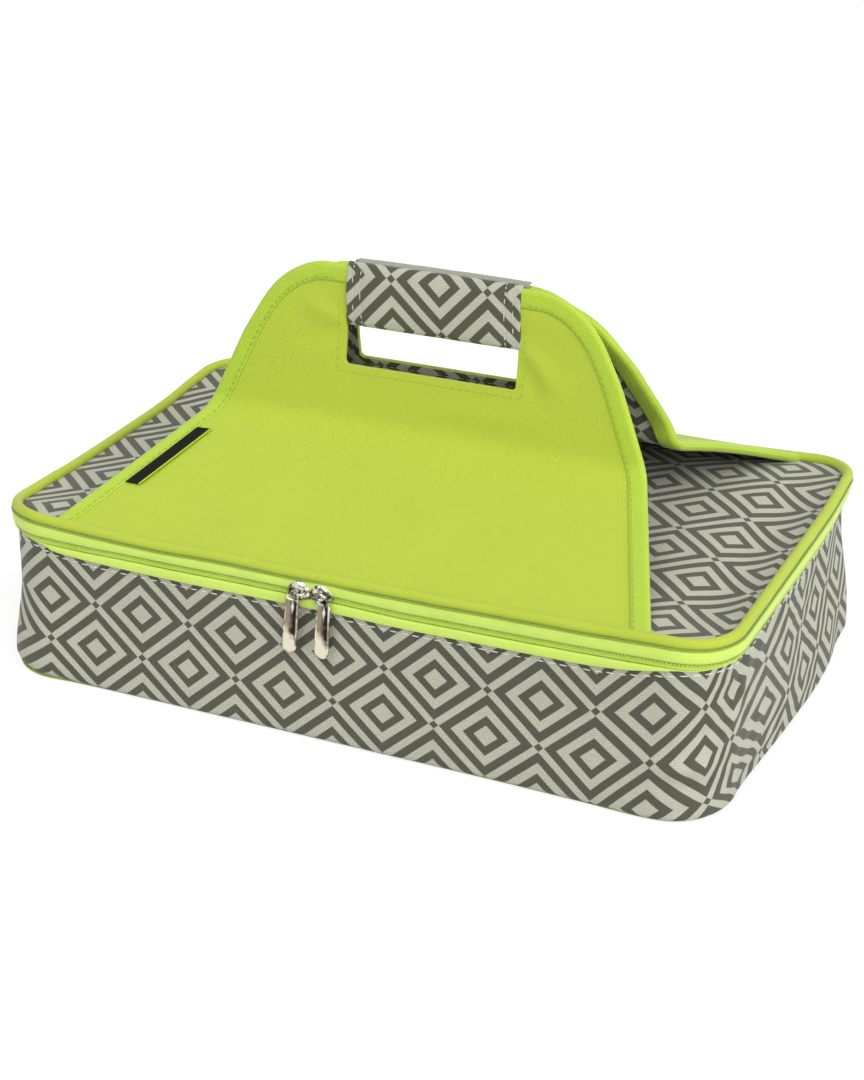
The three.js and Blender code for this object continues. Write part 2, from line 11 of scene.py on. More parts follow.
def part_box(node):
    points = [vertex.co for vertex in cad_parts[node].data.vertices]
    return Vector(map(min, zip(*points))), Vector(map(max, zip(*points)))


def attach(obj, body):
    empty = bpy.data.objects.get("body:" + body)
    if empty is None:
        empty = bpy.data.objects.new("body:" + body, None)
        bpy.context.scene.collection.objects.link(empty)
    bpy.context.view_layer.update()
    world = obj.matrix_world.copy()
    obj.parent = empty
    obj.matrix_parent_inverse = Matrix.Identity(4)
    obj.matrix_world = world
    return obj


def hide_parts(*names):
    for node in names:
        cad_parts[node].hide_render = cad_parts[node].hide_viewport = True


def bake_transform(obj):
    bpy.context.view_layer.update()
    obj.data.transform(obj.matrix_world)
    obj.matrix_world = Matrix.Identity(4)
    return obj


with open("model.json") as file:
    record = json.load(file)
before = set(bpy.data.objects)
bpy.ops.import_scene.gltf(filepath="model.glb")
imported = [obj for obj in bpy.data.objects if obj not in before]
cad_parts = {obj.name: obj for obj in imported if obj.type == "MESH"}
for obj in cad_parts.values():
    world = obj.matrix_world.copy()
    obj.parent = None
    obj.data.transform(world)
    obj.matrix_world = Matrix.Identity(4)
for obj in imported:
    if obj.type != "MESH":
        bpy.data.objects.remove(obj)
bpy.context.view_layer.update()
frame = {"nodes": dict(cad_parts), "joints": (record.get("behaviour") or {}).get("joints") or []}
joint_places = {j["name"]: Vector(j.get("pos_m", (0, 0, 0))) for j in frame["joints"]}

# Tub and lid, from the frame
shell_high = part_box("outer_shell")[1]
lining_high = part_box("tub_liner")[1]
upper_band_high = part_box("upper_zip_band")[1]
piping_low, piping_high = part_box("lid_piping")
lid_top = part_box("lid_panel")[1].z
lid_lining_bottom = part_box("lid_liner")[0].z
zip_height = joint_places["lid_hinge"].z
CORNER_RADIUS = 0.030
piping_radius = (piping_high.z - piping_low.z) / 2
piping_height = (piping_high.z + piping_low.z) / 2
piping_out = piping_high.x - piping_radius - shell_high.x
band_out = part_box("lower_zip_band")[1].x - shell_high.x

# Printed cloth: size of one diamond, and where a crossing of the print falls on each piece
PRINT_WIDTH = 0.05835
PRINT_HEIGHT = 0.05329
TUB_PRINT = Vector((-0.14676, 0.0511))
LID_PRINT = Vector((-0.00405, 0.0249))
GRIP_PRINT = Vector((0.0095, 0.0577))

# How the soft edges lie, in millimetres, by length round the outline from the front's middle to the
# right: the lift of the lid's edge, the lift of the zip, the height of the lower band's foot, and how
# far the foot of the wall stands out
LID_EDGE_LIFT = (
    (-648, -5), (-560, -4), (-500, -1), (-470, 0), (-430, 0), (-400, -1.8), (-375, -3.9), (-350, -4.6),
    (-275, -4.8), (-250, -3.8), (-226, -3), (-205, -0.8), (-190, 0.1), (-170, -0.9), (-150, -1.8),
    (-120, -2.5), (-100, -2.6), (-80, -1.9), (-60, -1.6), (-20, -2), (40, -1.5), (60, -1.3), (80, -0.8),
    (120, 0), (140, 0.3), (160, 1.1), (180, 1.7), (190, 1.2), (203, 0), (235, -0.6), (300, -0.2),
    (410, 0), (446, -1.9), (470, -3.7), (490, -5), (520, -6.2), (600, -6.2), (648, -5),
)
ZIP_LIFT = (
    (-648, -1.5), (-470, 0), (-430, 0), (-375, -2), (-275, -2.4), (-226, -1.4), (-205, 0), (-190, 0),
    (-170, -0.5), (-150, -0.8), (-120, -0.4), (-100, -0.5), (-60, -0.1), (0, -0.1), (20, -0.6), (40, -1),
    (60, -0.7), (80, -0.4), (120, 0.3), (140, 0.8), (160, 1.3), (180, 1.9), (190, 1.4), (205, 0.5),
    (235, 0), (400, 0), (450, -0.8), (520, -1.5), (648, -1.5),
)
BAND_FOOT = (
    (-648, 76), (-480, 77), (-300, 75), (-240, 79), (-215, 83.5), (-195, 84.4), (-185, 83), (-170, 78.8),
    (-160, 78), (-150, 77.2), (-120, 76.5), (-80, 76.2), (-40, 76.6), (0, 76.6), (40, 76.1), (80, 76.6),
    (120, 77), (140, 77.5), (160, 79.2), (170, 80.9), (180, 82.5), (190, 83.7), (205, 84), (235, 83.5),
    (300, 83), (420, 82.5), (470, 79), (520, 76), (648, 76),
)
WALL_FOOT_OUT = (
    (-648, 3), (-300, 5), (-240, 7), (-205, 7.5), (-185, 7), (-160, 5.5), (-120, 5), (80, 5), (140, 6),
    (170, 7), (192, 5), (212, 1.5), (226, 0), (240, 0), (260, 1.2), (300, 4.1), (340, 6), (380, 5.2),
    (405, 2), (440, 1), (480, 3), (648, 3),
)
# How far the print has crept up and along near the front right corner, in millimetres by length
PRINT_CREEP_UP = (
    (144, 0), (174, 5), (200, 11), (217, 16), (235, 15), (265, 9.3), (303, -1.5), (353, -1), (400, 0),
)
PRINT_CREEP_ALONG = (
    (150, 0), (176, -1), (190, 0.5), (200, 2.7), (210, 10), (217, 15), (228, 14), (245, 6), (265, -3.6),
    (303, -12), (340, -8), (400, 0),
)

# Walls of the tub. FOOT_ROWS is the share of their rows that turn in under the foot.
FLARE_HEIGHT = 0.055
WALL_TOP_LAP = 0.0025
WALL_BULGE = 0.0008
WALL_RIPPLE = 0.0006
WALL_RIPPLE_LENGTH = 0.045
FOOT_ROUND = 0.0028
FOOT_LIFT = 0.0004
FOOT_ROWS = 0.1
LEFT_CORNER = -0.205
LEFT_CORNER_REACH = 0.035
LEFT_FOOT_ROUNDER = 0.005
# Bumps of a wall: place and reach round the outline, place and reach up the wall, and how proud
REAR_CORNER_PINCH = (0.440, 0.045, 0.070, 0.035, 0.006)
FRONT_CORNER_DENT = (0.193, 0.012, 0.021, 0.005, -0.0012)
FRONT_CORNER_LIP = (0.190, 0.013, 0.030, 0.005, 0.0026)

# Zip: the upper band's lower lip, the zip tape's top, the coil's middle and the lower band's top
BAND_LIP = 0.0864
TAPE_TOP = 0.0863
COIL_HEIGHT = 0.08545
COIL_OUT = 0.00135
BAND_TOP = 0.0825

# Flaps and handles, drawn flat: x along the crease and rise up the cloth from it
SEAM_RISE = 0.0015
HANDLE_SLOPE = math.radians(78.6)
CREASE_HALF = 0.131
FLAP_LEAN = 0.3775
HANDLE_LEAN = 0.425
HANDLE_RISE = 0.0885
SHOULDER_RADIUS = 0.047
SLOT_HALF = 0.0508
SLOT_BOTTOM = 0.0342
SLOT_CORNER = 0.0028
GRIP_BOTTOM = 0.0559
GRIP_HALF = 0.0511
GRIP_DEPTH = 0.0048
CLOTH_DEPTH = 0.0028
CANVAS_DEPTH = 0.0008
TAPE_DEPTH = 0.0044
TAPE_WALL = 0.0005
TAPE_WIDTH = 0.010
FOLD_REACH = 0.008
FLAP_SAG = 0.0015
FLAP_SAG_HALF = 0.19
REAR_FLAP_CROWN = 0.003
# How far the rear handle leans to the front and sinks, in millimetres by rise: its middle, its edges
REAR_LEAN_MIDDLE = ((0, 0), (12, 5), (24, 7.6), (34, 8.5), (50, 7.7), (70, 4), (88.5, 0), (95, 0))
REAR_LEAN_EDGE = (
    (0, 0), (10, -3), (28, 0), (37, 2), (46, 3.2), (54, 5), (62, 6.5), (76, 6), (88.5, 4), (95, 4),
)
REAR_SINK_MIDDLE = ((0, 0), (16, 2.5), (34, 4.6), (60, 3.6), (88.5, 2.7), (95, 2.7))
REAR_SINK_EDGE = ((0, 0), (30, 0.5), (60, 1.8), (76, 4.2), (88.5, 6.5), (95, 6.5))
REAR_EDGE_FROM = 0.050
REAR_EDGE_FADE = 0.035
# The front slot lies off centre, and the shoulders of both handles are drawn in
SLOT_SHIFT = 0.0026
SLOT_SHIFT_TOP = 0.080
SLOT_SHIFT_HALF = 0.082
SLOT_SHIFT_FADE = 0.03
SHOULDER_SLACK = 0.003
SHOULDER_FROM = 0.055
SHOULDER_ABOVE = 0.04
SHOULDER_FADE = 0.03
GRIP_SHIFT = 0.0015

crease = joint_places["front_handle_fold"]
seam_y = -(piping_high.y - 2 * piping_radius)
seam_z = lid_top + SEAM_RISE
flap_slope = math.atan2(crease.z - seam_z, crease.y - seam_y)
flap_length = math.hypot(crease.z - seam_z, crease.y - seam_y)
FLAP_TUCK = 0.0012

# Label tab
LABEL_WIDTH = 0.0085
LABEL_LENGTH = 0.050
LABEL_FROM_CREASE = 0.0204
LABEL_FROM_TAPE = 0.0002
LABEL_PROUD = 0.0006
LABEL_CURL = 0.0006
LABEL_WALL = 0.0005

# Camera, at the photograph's place; image height and focal length are in pixels
IMAGE_HEIGHT = 1080
FOCAL_PIXELS = 2241.49
SENSOR = 36.0
VIEW_AZIMUTH = math.radians(25.45)
VIEW_ELEVATION = math.radians(25.46)
VIEW_ROLL = math.radians(-0.72)
VIEW_DISTANCE = 1.26748
VIEW_TARGET = Vector((-0.00489, 0.0, 0.06071))


# Small sums


def smooth(share):
    share = min(max(share, 0.0), 1.0)
    return share * share * (3 - 2 * share)


def swell(place, centre, width):
    """A bell-shaped bump, 1 at its centre."""
    return math.exp(-(((place - centre) / width) ** 2))


def ripple(point, size, seed=0.0):
    """Smooth noise from -1 to 1 whose waves are about size long."""
    return noise.noise(Vector(point) / size + Vector((seed, seed * 0.7, -seed)))


# Outline of the tub


class Outline:
    """The tub's rounded rectangle, walked by length from the middle of its front to the right."""

    def __init__(self, half_x, half_y, radius):
        self.radius = radius
        self.x = half_x - radius
        self.y = half_y - radius
        self.arc = math.pi / 2 * radius
        self.length = 4 * (self.x + self.y + self.arc)

    def at(self, along):
        """The point on the wall's face at this length, and the way out from it."""
        rest = (along + self.x) % self.length
        corners = (
            (self.x, -self.y, -math.pi / 2, 2 * self.x),
            (self.x, self.y, 0.0, 2 * self.y),
            (-self.x, self.y, math.pi / 2, 2 * self.x),
            (-self.x, -self.y, math.pi, 2 * self.y),
        )
        for x, y, turn, straight in corners:
            if rest <= straight:
                out = Vector((math.cos(turn), math.sin(turn)))
                ahead = Vector((-out.y, out.x))
                return Vector((x, y)) + out * self.radius - ahead * (straight - rest), out
            rest -= straight
            if rest <= self.arc:
                angle = turn + rest / self.radius
                out = Vector((math.cos(angle), math.sin(angle)))
                return Vector((x, y)) + out * self.radius, out
            rest -= self.arc
        raise ValueError("a length past the end of the outline")

    def point(self, along, out_by, z):
        place, out = self.at(along)
        out_by += wall_lean(along, z)
        return Vector((place.x + out.x * out_by, place.y + out.y * out_by, z))


outline = Outline(shell_high.x, shell_high.y, CORNER_RADIUS)


def front_along(along):
    """The length from the front's middle, from minus half the outline to plus half."""
    return (along + outline.length / 2) % outline.length - outline.length / 2


def by_length(steps, along):
    """A smooth line through steps of length and value, both given in millimetres."""
    place = front_along(along) * 1000
    for i, (here, value) in enumerate(steps[:-1]):
        ahead, next_value = steps[i + 1]
        if place <= ahead:
            behind, last_value = steps[max(i - 1, 0)]
            beyond, far_value = steps[min(i + 2, len(steps) - 1)]
            span = ahead - here
            t = max((place - here) / span, 0.0)
            first = (next_value - last_value) / (ahead - behind) * span
            second = (far_value - value) / (beyond - here) * span
            gain = next_value - value
            cubic = first + second - 2 * gain
            square = 3 * gain - 2 * first - second
            return (value + first * t + square * t * t + cubic * t**3) / 1000
    return steps[-1][1] / 1000


@lru_cache(maxsize=None)
def edge_lift(along):
    return by_length(LID_EDGE_LIFT, along)


@lru_cache(maxsize=None)
def zip_lift(along):
    return by_length(ZIP_LIFT, along)


@lru_cache(maxsize=None)
def band_foot(along):
    return by_length(BAND_FOOT, along)


@lru_cache(maxsize=None)
def foot_out(along):
    return by_length(WALL_FOOT_OUT, along)


def bump(form, along, height):
    """How proud one bump of the wall is at this place."""
    place, reach, level, tall, proud = form
    return proud * swell(along, place, reach) * swell(height, level, tall)


def flare(along, height):
    """How far the foot's flare carries the wall out."""
    return foot_out(along) * (1 - smooth(height / FLARE_HEIGHT))


def wall_lean(along, height):
    """How far the whole wall stands out: its foot flares, and its rear right corner draws in."""
    return flare(along, height) - bump(REAR_CORNER_PINCH, front_along(along), height)


# Making meshes

OUTLINE_COLUMNS = 432
MERGE_WITHIN = 1e-6
CUT_WITHIN = 1e-7


def add_piece(name, bm, materials, smooth_faces=True):
    mesh = bpy.data.meshes.new(name)
    bm.to_mesh(mesh)
    bm.free()
    for material in materials:
        mesh.materials.append(material)
    if smooth_faces:
        mesh.polygons.foreach_set("use_smooth", [True] * len(mesh.polygons))
    piece = bpy.data.objects.new(name, mesh)
    bpy.context.scene.collection.objects.link(piece)
    return piece


def cloth_net(columns, rows, place, pattern, merge=False):
    """A net of squares; place and pattern turn shares across and up it into a point and a pattern place."""
    bm = bmesh.new()
    bmesh.ops.create_grid(bm, x_segments=columns, y_segments=rows, size=0.5)
    layer = bm.loops.layers.uv.new("Cloth")
    for face in bm.faces:
        for loop in face.loops:
            loop[layer].uv = pattern(loop.vert.co.x + 0.5, loop.vert.co.y + 0.5)
    for vert in bm.verts:
        vert.co = place(vert.co.x + 0.5, vert.co.y + 0.5)
    if merge:
        bmesh.ops.remove_doubles(bm, verts=bm.verts, dist=MERGE_WITHIN)
    return bm


def close_ends(bm):
    """Fills the open ends of a bar and turns its faces outwards."""
    bmesh.ops.holes_fill(bm, edges=[e for e in bm.edges if e.is_boundary], sides=0)
    bmesh.ops.recalc_face_normals(bm, faces=bm.faces)


def thicken(piece, thickness, offset=-1.0, inner=0):
    """Gives a sheet its wall, inwards unless offset says otherwise; inner is its back's material."""
    wall = piece.modifiers.new("Thickness", "SOLIDIFY")
    wall.thickness = thickness
    wall.offset = offset
    wall.material_offset = inner
    wall.use_even_offset = False


def sweep(name, section, rows, material):
    """A bar all round the outline; section gives the way out and the rise at a share round it."""

    def place(across, up):
        along = across * outline.length
        out_by, rise = section(up, along)
        return outline.point(along, out_by, rise)

    def pattern(across, up):
        return across * outline.length, up * 2 * math.pi * piping_radius

    bm = cloth_net(OUTLINE_COLUMNS, rows, place, pattern, merge=True)
    bmesh.ops.recalc_face_normals(bm, faces=bm.faces)
    return add_piece(name, bm, [material])


def rounded(share, half_out, half_up, power):
    """A point on a rounded slab's section, counted from its outer middle upwards."""
    angle = 2 * math.pi * share
    c, s = math.cos(angle), math.sin(angle)
    return (
        half_out * math.copysign(abs(c) ** power, c),
        half_up * math.copysign(abs(s) ** power, s),
    )


# Shader maths


class Value:
    """A number, colour or shader among the nodes; sums on it add their nodes."""

    def __init__(self, graph, socket):
        self.graph = graph
        self.socket = socket

    def beside(self, output):
        """Another output of the same node."""
        return Value(self.graph, self.socket.node.outputs[output])

    def maths(self, operation, *others, clamp=False):
        settings = {"operation": operation, "use_clamp": clamp}
        return self.graph.node("ShaderNodeMath", settings, dict(enumerate(others)))

    def __add__(self, other):
        return self.maths("ADD", self, other)

    def __radd__(self, other):
        return self.maths("ADD", other, self)

    def __sub__(self, other):
        return self.maths("SUBTRACT", self, other)

    def __rsub__(self, other):
        return self.maths("SUBTRACT", other, self)

    def __mul__(self, other):
        return self.maths("MULTIPLY", self, other)

    def __rmul__(self, other):
        return self.maths("MULTIPLY", other, self)

    def __abs__(self):
        return self.maths("ABSOLUTE", self)

    def fraction(self):
        return self.maths("FRACT", self)

    def wave(self):
        return self.maths("SINE", self)

    def larger(self, other):
        return self.maths("MAXIMUM", self, other)

    def above(self, level, softness):
        """1 where the value is over the level and 0 under it, with a soft step between."""
        return self.maths("MULTIPLY_ADD", self, 1 / softness, 0.5 - level / softness, clamp=True)

    def between(self, low, high, softness):
        return self.above(low, softness) - self.above(high, softness)


def shade(code):
    """A colour written as on a paint card, as the shader's linear numbers."""
    parts = [int(code[i : i + 2], 16) / 255 for i in (0, 2, 4)]
    linear = [c / 12.92 if c <= 0.04045 else ((c + 0.055) / 1.055) ** 2.4 for c in parts]
    return (*linear, 1.0)


class Graph:
    """The nodes of one material or of the world."""

    def __init__(self, tree):
        self.tree = tree

    def node(self, kind, settings=None, inputs=None, output=0):
        """Adds a node: its settings first, then the values or links of its sockets."""
        made = self.tree.nodes.new(kind)
        for key, setting in (settings or {}).items():
            setattr(made, key, setting)
        for key, value in (inputs or {}).items():
            if isinstance(value, Value):
                self.tree.links.new(value.socket, made.inputs[key])
            else:
                made.inputs[key].default_value = value
        return Value(self, made.outputs[output]) if made.outputs else None

    def speckle(self, scale, detail=2.0):
        place = self.node("ShaderNodeTexCoord", output="Object")
        return self.node("ShaderNodeTexNoise", inputs={"Vector": place, "Scale": scale, "Detail": detail})

    def mix(self, share, first, second, blend="MIX"):
        settings = {"data_type": "RGBA", "blend_type": blend}
        return self.node("ShaderNodeMix", settings, {0: share, 6: first, 7: second}, output=2)


class Finish(Graph):
    """A material with one Principled shader, whose fixed sockets are set straight on it."""

    def __init__(self, name, **fixed):
        self.material = bpy.data.materials.new(name)
        self.material.use_nodes = True
        super().__init__(self.material.node_tree)
        self.shader = self.tree.nodes["Principled BSDF"]
        for socket, value in fixed.items():
            label = socket.replace("_", " ").title().replace("Ior", "IOR")
            self.shader.inputs[label].default_value = value

    def feed(self, socket, value):
        self.tree.links.new(value.socket, self.shader.inputs[socket])

    def cloth_places(self):
        """Places along and across the cloth, in metres."""
        both = self.node("ShaderNodeUVMap", {"uv_map": "Cloth"})
        along = self.node("ShaderNodeSeparateXYZ", inputs={0: both})
        return along, along.beside(1)

    def tint(self, colour, tone):
        """The base colour: this colour times a tone near 1."""
        grey = self.node("ShaderNodeCombineColor", inputs={0: tone, 1: tone, 2: tone})
        self.feed("Base Color", self.mix(1.0, colour, grey, "MULTIPLY"))

    def raise_from(self, height, distance, strength):
        """Bump from a height that runs from 0 to 1 over this distance."""
        inputs = {"Height": height, "Distance": distance, "Strength": strength}
        self.feed("Normal", self.node("ShaderNodeBump", inputs=inputs))


# Weaves and metal

PULL_HALF = 0.0039
PULL_LENGTH = 0.0315
PULL_CENTRE = PULL_HALF - PULL_LENGTH
# Width of the pull's rim, the place across it of its painted highlight, and the rim's softness
PULL_RIM = 0.0009
PULL_GLINT = 0.0006
RIM_SOFTNESS = 0.0003
WEAVE_PITCH = 0.0013
CANVAS_PITCH = 0.0014
RIB_PITCH = 0.0016
CORD_PITCH = 0.0012
LABEL_PITCH = 0.0006
LABEL_EDGE = 0.0007
LABEL_EDGE_SOFTNESS = 0.0001
TAPE_MIDDLE = 0.005
# The print's dark rings and its dot, as shares of half a diamond, and the softness of their edges
OUTER_RING = (0.67, 0.90)
INNER_RING = (0.23, 0.44)
PRINT_DOT = 0.09
PRINT_SOFTNESS = 0.02
LIGHT_GREY = shade("B2B3A1")
DARK_GREY = shade("49493B")
LIME = shade("ADBF31")
TAPE_LIME = shade("A8C42B")
BAND_LIME = shade("C5E05D")
COIL_LIME = shade("AAC638")


def woven(u, v, pitch):
    """Threads that pass over and under each other, from 0 to 1."""
    turn = 2 * math.pi / pitch
    return (u * turn).wave() * (v * turn).wave() * 0.5 + 0.5


def printed_cloth():
    finish = Finish("printed_cloth", roughness=0.82, sheen_weight=0.15)
    u, v = finish.cloth_places()
    a = u * (1 / PRINT_WIDTH) + v * (1 / PRINT_HEIGHT)
    b = u * (1 / PRINT_WIDTH) - v * (1 / PRINT_HEIGHT)
    half_a = abs(a.fraction() - 0.5)
    half_b = abs(b.fraction() - 0.5)
    ring = half_a.larger(half_b) * 2
    dot = (0.5 - half_a).larger(0.5 - half_b) * 2
    dark = ring.between(*INNER_RING, PRINT_SOFTNESS) + ring.between(*OUTER_RING, PRINT_SOFTNESS)
    dark = dark + 1 - dot.above(PRINT_DOT, PRINT_SOFTNESS)
    ink = finish.mix(dark.maths("MINIMUM", dark, 1.0), LIGHT_GREY, DARK_GREY)
    threads = woven(u, v, WEAVE_PITCH)
    picks = (v * (2 * math.pi / WEAVE_PITCH)).wave() * 0.5 + 0.5
    patches = finish.speckle(60.0)
    flecks = finish.speckle(1400.0)
    tone = threads * 0.20 + picks * 0.18 + patches * 0.12 + flecks * 0.16 + 0.67
    finish.tint(ink, tone)
    finish.raise_from(threads, distance=0.00025, strength=0.7)
    return finish.material


def lime_canvas():
    finish = Finish("lime_canvas", roughness=0.78, sheen_weight=0.2)
    u, v = finish.cloth_places()
    turn = 2 * math.pi / CANVAS_PITCH
    twill = ((u + v) * turn).wave() * 0.5 + 0.5
    threads = woven(u, v, CANVAS_PITCH) * 0.3 + twill * 0.7
    patches = finish.speckle(25.0)
    flecks = finish.speckle(1300.0)
    tone = threads * 0.32 + patches * 0.08 + flecks * 0.06 + 0.77
    finish.tint(LIME, tone)
    finish.raise_from(threads, distance=0.0002, strength=0.7)
    return finish.material


def ribbed(name, colour, depth=0.0002, contrast=0.16, fold=0.0):
    """Webbing with fine ribs; they slant both ways from a fold line if one is given."""
    finish = Finish(name, roughness=0.6, sheen_weight=0.25)
    u, v = finish.cloth_places()
    slant = u + abs(v - fold) * 0.9 if fold else u + v * 0.5
    ribs = (slant * (2 * math.pi / RIB_PITCH)).wave() * 0.5 + 0.5
    cords = (v * (2 * math.pi / CORD_PITCH)).wave() * 0.5 + 0.5
    patches = finish.speckle(80.0)
    tone = ribs * contrast + cords * (contrast * 0.5) + patches * 0.14 + (0.93 - contrast * 0.75)
    finish.tint(colour, tone)
    finish.raise_from(ribs, distance=depth, strength=0.6)
    return finish.material


def thread(name, colour):
    finish = Finish(name, roughness=0.55, sheen_weight=0.2)
    twist = finish.speckle(900.0)
    tone = twist * 0.3 + 0.8
    finish.tint(colour, tone)
    finish.raise_from(twist, distance=0.0001, strength=0.4)
    return finish.material


def nickel_plate():
    finish = Finish("nickel_plate", metallic=0.95, roughness=0.18)
    # Painted reflections: noise patches of dark and pale colour stand in for the surroundings the plating
    # mirrors; the roughness follows them
    painted_reflections = finish.speckle(330.0, detail=1.0).above(0.5, 0.22)
    finish.feed("Base Color", finish.mix(painted_reflections, shade("544D43"), shade("EDE8DC")))
    finish.feed("Roughness", painted_reflections * 0.12 + 0.12)
    return finish.material


def silver_film():
    finish = Finish("silver_film", metallic=0.75, roughness=0.35)
    crinkle = finish.speckle(140.0, detail=6.0)
    finish.feed("Base Color", finish.mix(crinkle, shade("C4C7CC"), shade("E6E8EA")))
    finish.feed("Roughness", crinkle * 0.25 + 0.25)
    finish.raise_from(crinkle, distance=0.0012, strength=0.5)
    return finish.material


def packed_foam():
    finish = Finish("packed_foam", roughness=0.9)
    cells = finish.speckle(700.0, detail=3.0)
    finish.feed("Base Color", finish.mix(cells, shade("D6D6D0"), shade("F0F0EC")))
    finish.raise_from(cells, distance=0.0004, strength=0.5)
    return finish.material


def stiff_board():
    finish = Finish("stiff_board", roughness=0.6)
    grain = finish.speckle(300.0, detail=4.0)
    finish.feed("Base Color", finish.mix(grain, shade("4E5052"), shade("6A6C6E")))
    finish.raise_from(grain, distance=0.0002, strength=0.4)
    return finish.material


def label_cloth():
    finish = Finish("label_cloth", roughness=0.85, specular_ior_level=0.2)
    u, v = finish.cloth_places()
    threads = woven(u, v, LABEL_PITCH)
    ground = finish.mix(threads, shade("060605"), shade("12120E"))
    edge = v.above(LABEL_WIDTH - LABEL_EDGE, LABEL_EDGE_SOFTNESS)
    finish.feed("Base Color", finish.mix(edge, ground, TAPE_LIME))
    finish.raise_from(threads, distance=0.0001, strength=0.5)
    return finish.material


def pull_metal():
    """Bright metal with painted reflections: dark above and pale below, a painted highlight near the top,
    and a rim painted in dark and pale patches.
    """
    finish = Finish("pull_metal", metallic=0.9, roughness=0.2)
    u, v = finish.cloth_places()
    down = v * (-1 / PULL_LENGTH)
    left = u * (-0.5 / PULL_HALF) + 0.5
    wobble = finish.speckle(260.0)
    # Painted reflections: dark above, browner towards the left, and pale cream towards the bottom left
    upper = finish.mix((left + wobble * 0.5).above(0.75, 0.35), shade("26221D"), shade("94866F"))
    pale = (down * 1.3 + left * 0.35 + wobble * 0.4).above(1.22, 0.22)
    body = finish.mix(pale, upper, shade("E2DCC2"))
    # Painted highlight: a bluish-white glint near the top
    glint = (1 - abs(u - PULL_GLINT) * 900 - abs(down - 0.13) * 7).above(0.25, 0.7)
    body = finish.mix(glint, body, shade("D5DEE6"))
    below = (v - PULL_CENTRE).maths("MINIMUM", v - PULL_CENTRE, 0.0)
    reach = (u * u + below * below).maths("SQRT", u * u + below * below)
    rim = reach.above(PULL_HALF - PULL_RIM, RIM_SOFTNESS)
    # The rim is painted with dark and pale patches of reflection
    rim_reflection_mask = finish.speckle(190.0, detail=1.0).above(0.5, 0.3)
    edge = finish.mix(rim_reflection_mask, shade("8A7462"), shade("EDE8DA"))
    finish.feed("Base Color", finish.mix(rim, body, edge))
    return finish.material


printed = printed_cloth()
canvas = lime_canvas()
tape = ribbed("binding_tape", TAPE_LIME, contrast=0.30, fold=TAPE_MIDDLE)
band_webbing = ribbed("band_webbing", BAND_LIME, depth=0.00012, contrast=0.10)
zip_weave = ribbed("zip_weave", shade("B9D548"), depth=0.0001)
# Painted shade: the tape's lime darkened, used for the dark cord in the seam under the lid's piping and for
# the piping under the foot
shade_painted_tape = ribbed("shade_painted_tape", shade("7E9A20"), depth=0.0001)
coil_nylon = ribbed("coil_nylon", COIL_LIME, depth=0.0)
lime_thread = thread("lime_thread", shade("98B22E"))
grip_thread = thread("grip_thread", shade("C2C4B5"))
pale_thread = thread("pale_thread", shade("E4E5DA"))
plain_grey = thread("plain_grey", shade("949588"))
nickel = nickel_plate()
pull_nickel = pull_metal()
film = silver_film()
foam = packed_foam()
board = stiff_board()
label_weave = label_cloth()

# Tub

WALL_ROWS = 44
CLOTH_WALL = 0.0010
RIGHT_SIDE_BELLY = 0.0010
RIGHT_SIDE_MIDDLE = 0.28
RIGHT_SIDE_REACH = 0.05
UNDER_BAND_LAP = 0.001
UNDER_BAND_FADE = 0.006
# A fold slants down from the band just past the front right corner, with a ridge beside it
FOLD_TOP_ALONG = 0.228
FOLD_TOP_HEIGHT = 0.080
FOLD_SLANT = 0.66
FOLD_DEPTH = 0.0012
FOLD_REACH_ALONG = 0.004
FOLD_END_HEIGHT = 0.038
FOLD_END_FADE = 0.02
RIDGE_BESIDE = 0.009
RIDGE_REACH_ALONG = 0.006
# Small level waves where the right side is gathered: middle, reach and strength of each stretch
SHIRR_PITCH = 0.0100
SHIRR_DEPTH = 0.0005
SHIRRED_STRETCHES = ((0.245, 0.035, 1.0), (0.330, 0.05, 0.5))
# The print's creep fades out at the foot, and its lines wobble where the cloth is gathered
CREEP_FADE = 0.03
CREEP_BY_FLARE = 0.4
PRINT_WOBBLE = 0.0008
PRINT_WOBBLE_LENGTH = 0.022


def shirred(place):
    """How far the cloth at this length is gathered into small level waves."""
    return sum(strength * swell(place, middle, reach) for middle, reach, strength in SHIRRED_STRETCHES)


def wall_out(along, height):
    """How far the tub's cloth stands out from its true face."""
    place = front_along(along)
    spot, _ = outline.at(along)
    rise = min(max(height / shell_high.z, 0.0), 1.0)
    belly = WALL_BULGE * math.sin(math.pi * rise) ** 0.8
    waves = WALL_RIPPLE * ripple((spot.x, spot.y, height * 0.6), WALL_RIPPLE_LENGTH, 1.0)
    side = RIGHT_SIDE_BELLY * swell(place, RIGHT_SIDE_MIDDLE, RIGHT_SIDE_REACH) * math.sin(math.pi * rise)
    dent = bump(FRONT_CORNER_DENT, place, height)
    lip = bump(FRONT_CORNER_LIP, place, height)
    fold_line = FOLD_TOP_ALONG - (FOLD_TOP_HEIGHT - height) * FOLD_SLANT
    folded = smooth((height - FOLD_END_HEIGHT) / FOLD_END_FADE)
    fold = -FOLD_DEPTH * swell(place, fold_line, FOLD_REACH_ALONG) * folded
    ridge = FOLD_DEPTH * swell(place, fold_line + RIDGE_BESIDE, RIDGE_REACH_ALONG) * folded
    shirring = SHIRR_DEPTH * math.sin(2 * math.pi * height / SHIRR_PITCH) * shirred(place)
    under_band = smooth((band_foot(along) + UNDER_BAND_LAP - height) / UNDER_BAND_FADE)
    return belly + (waves + side + dent + lip + fold + ridge + shirring) * under_band


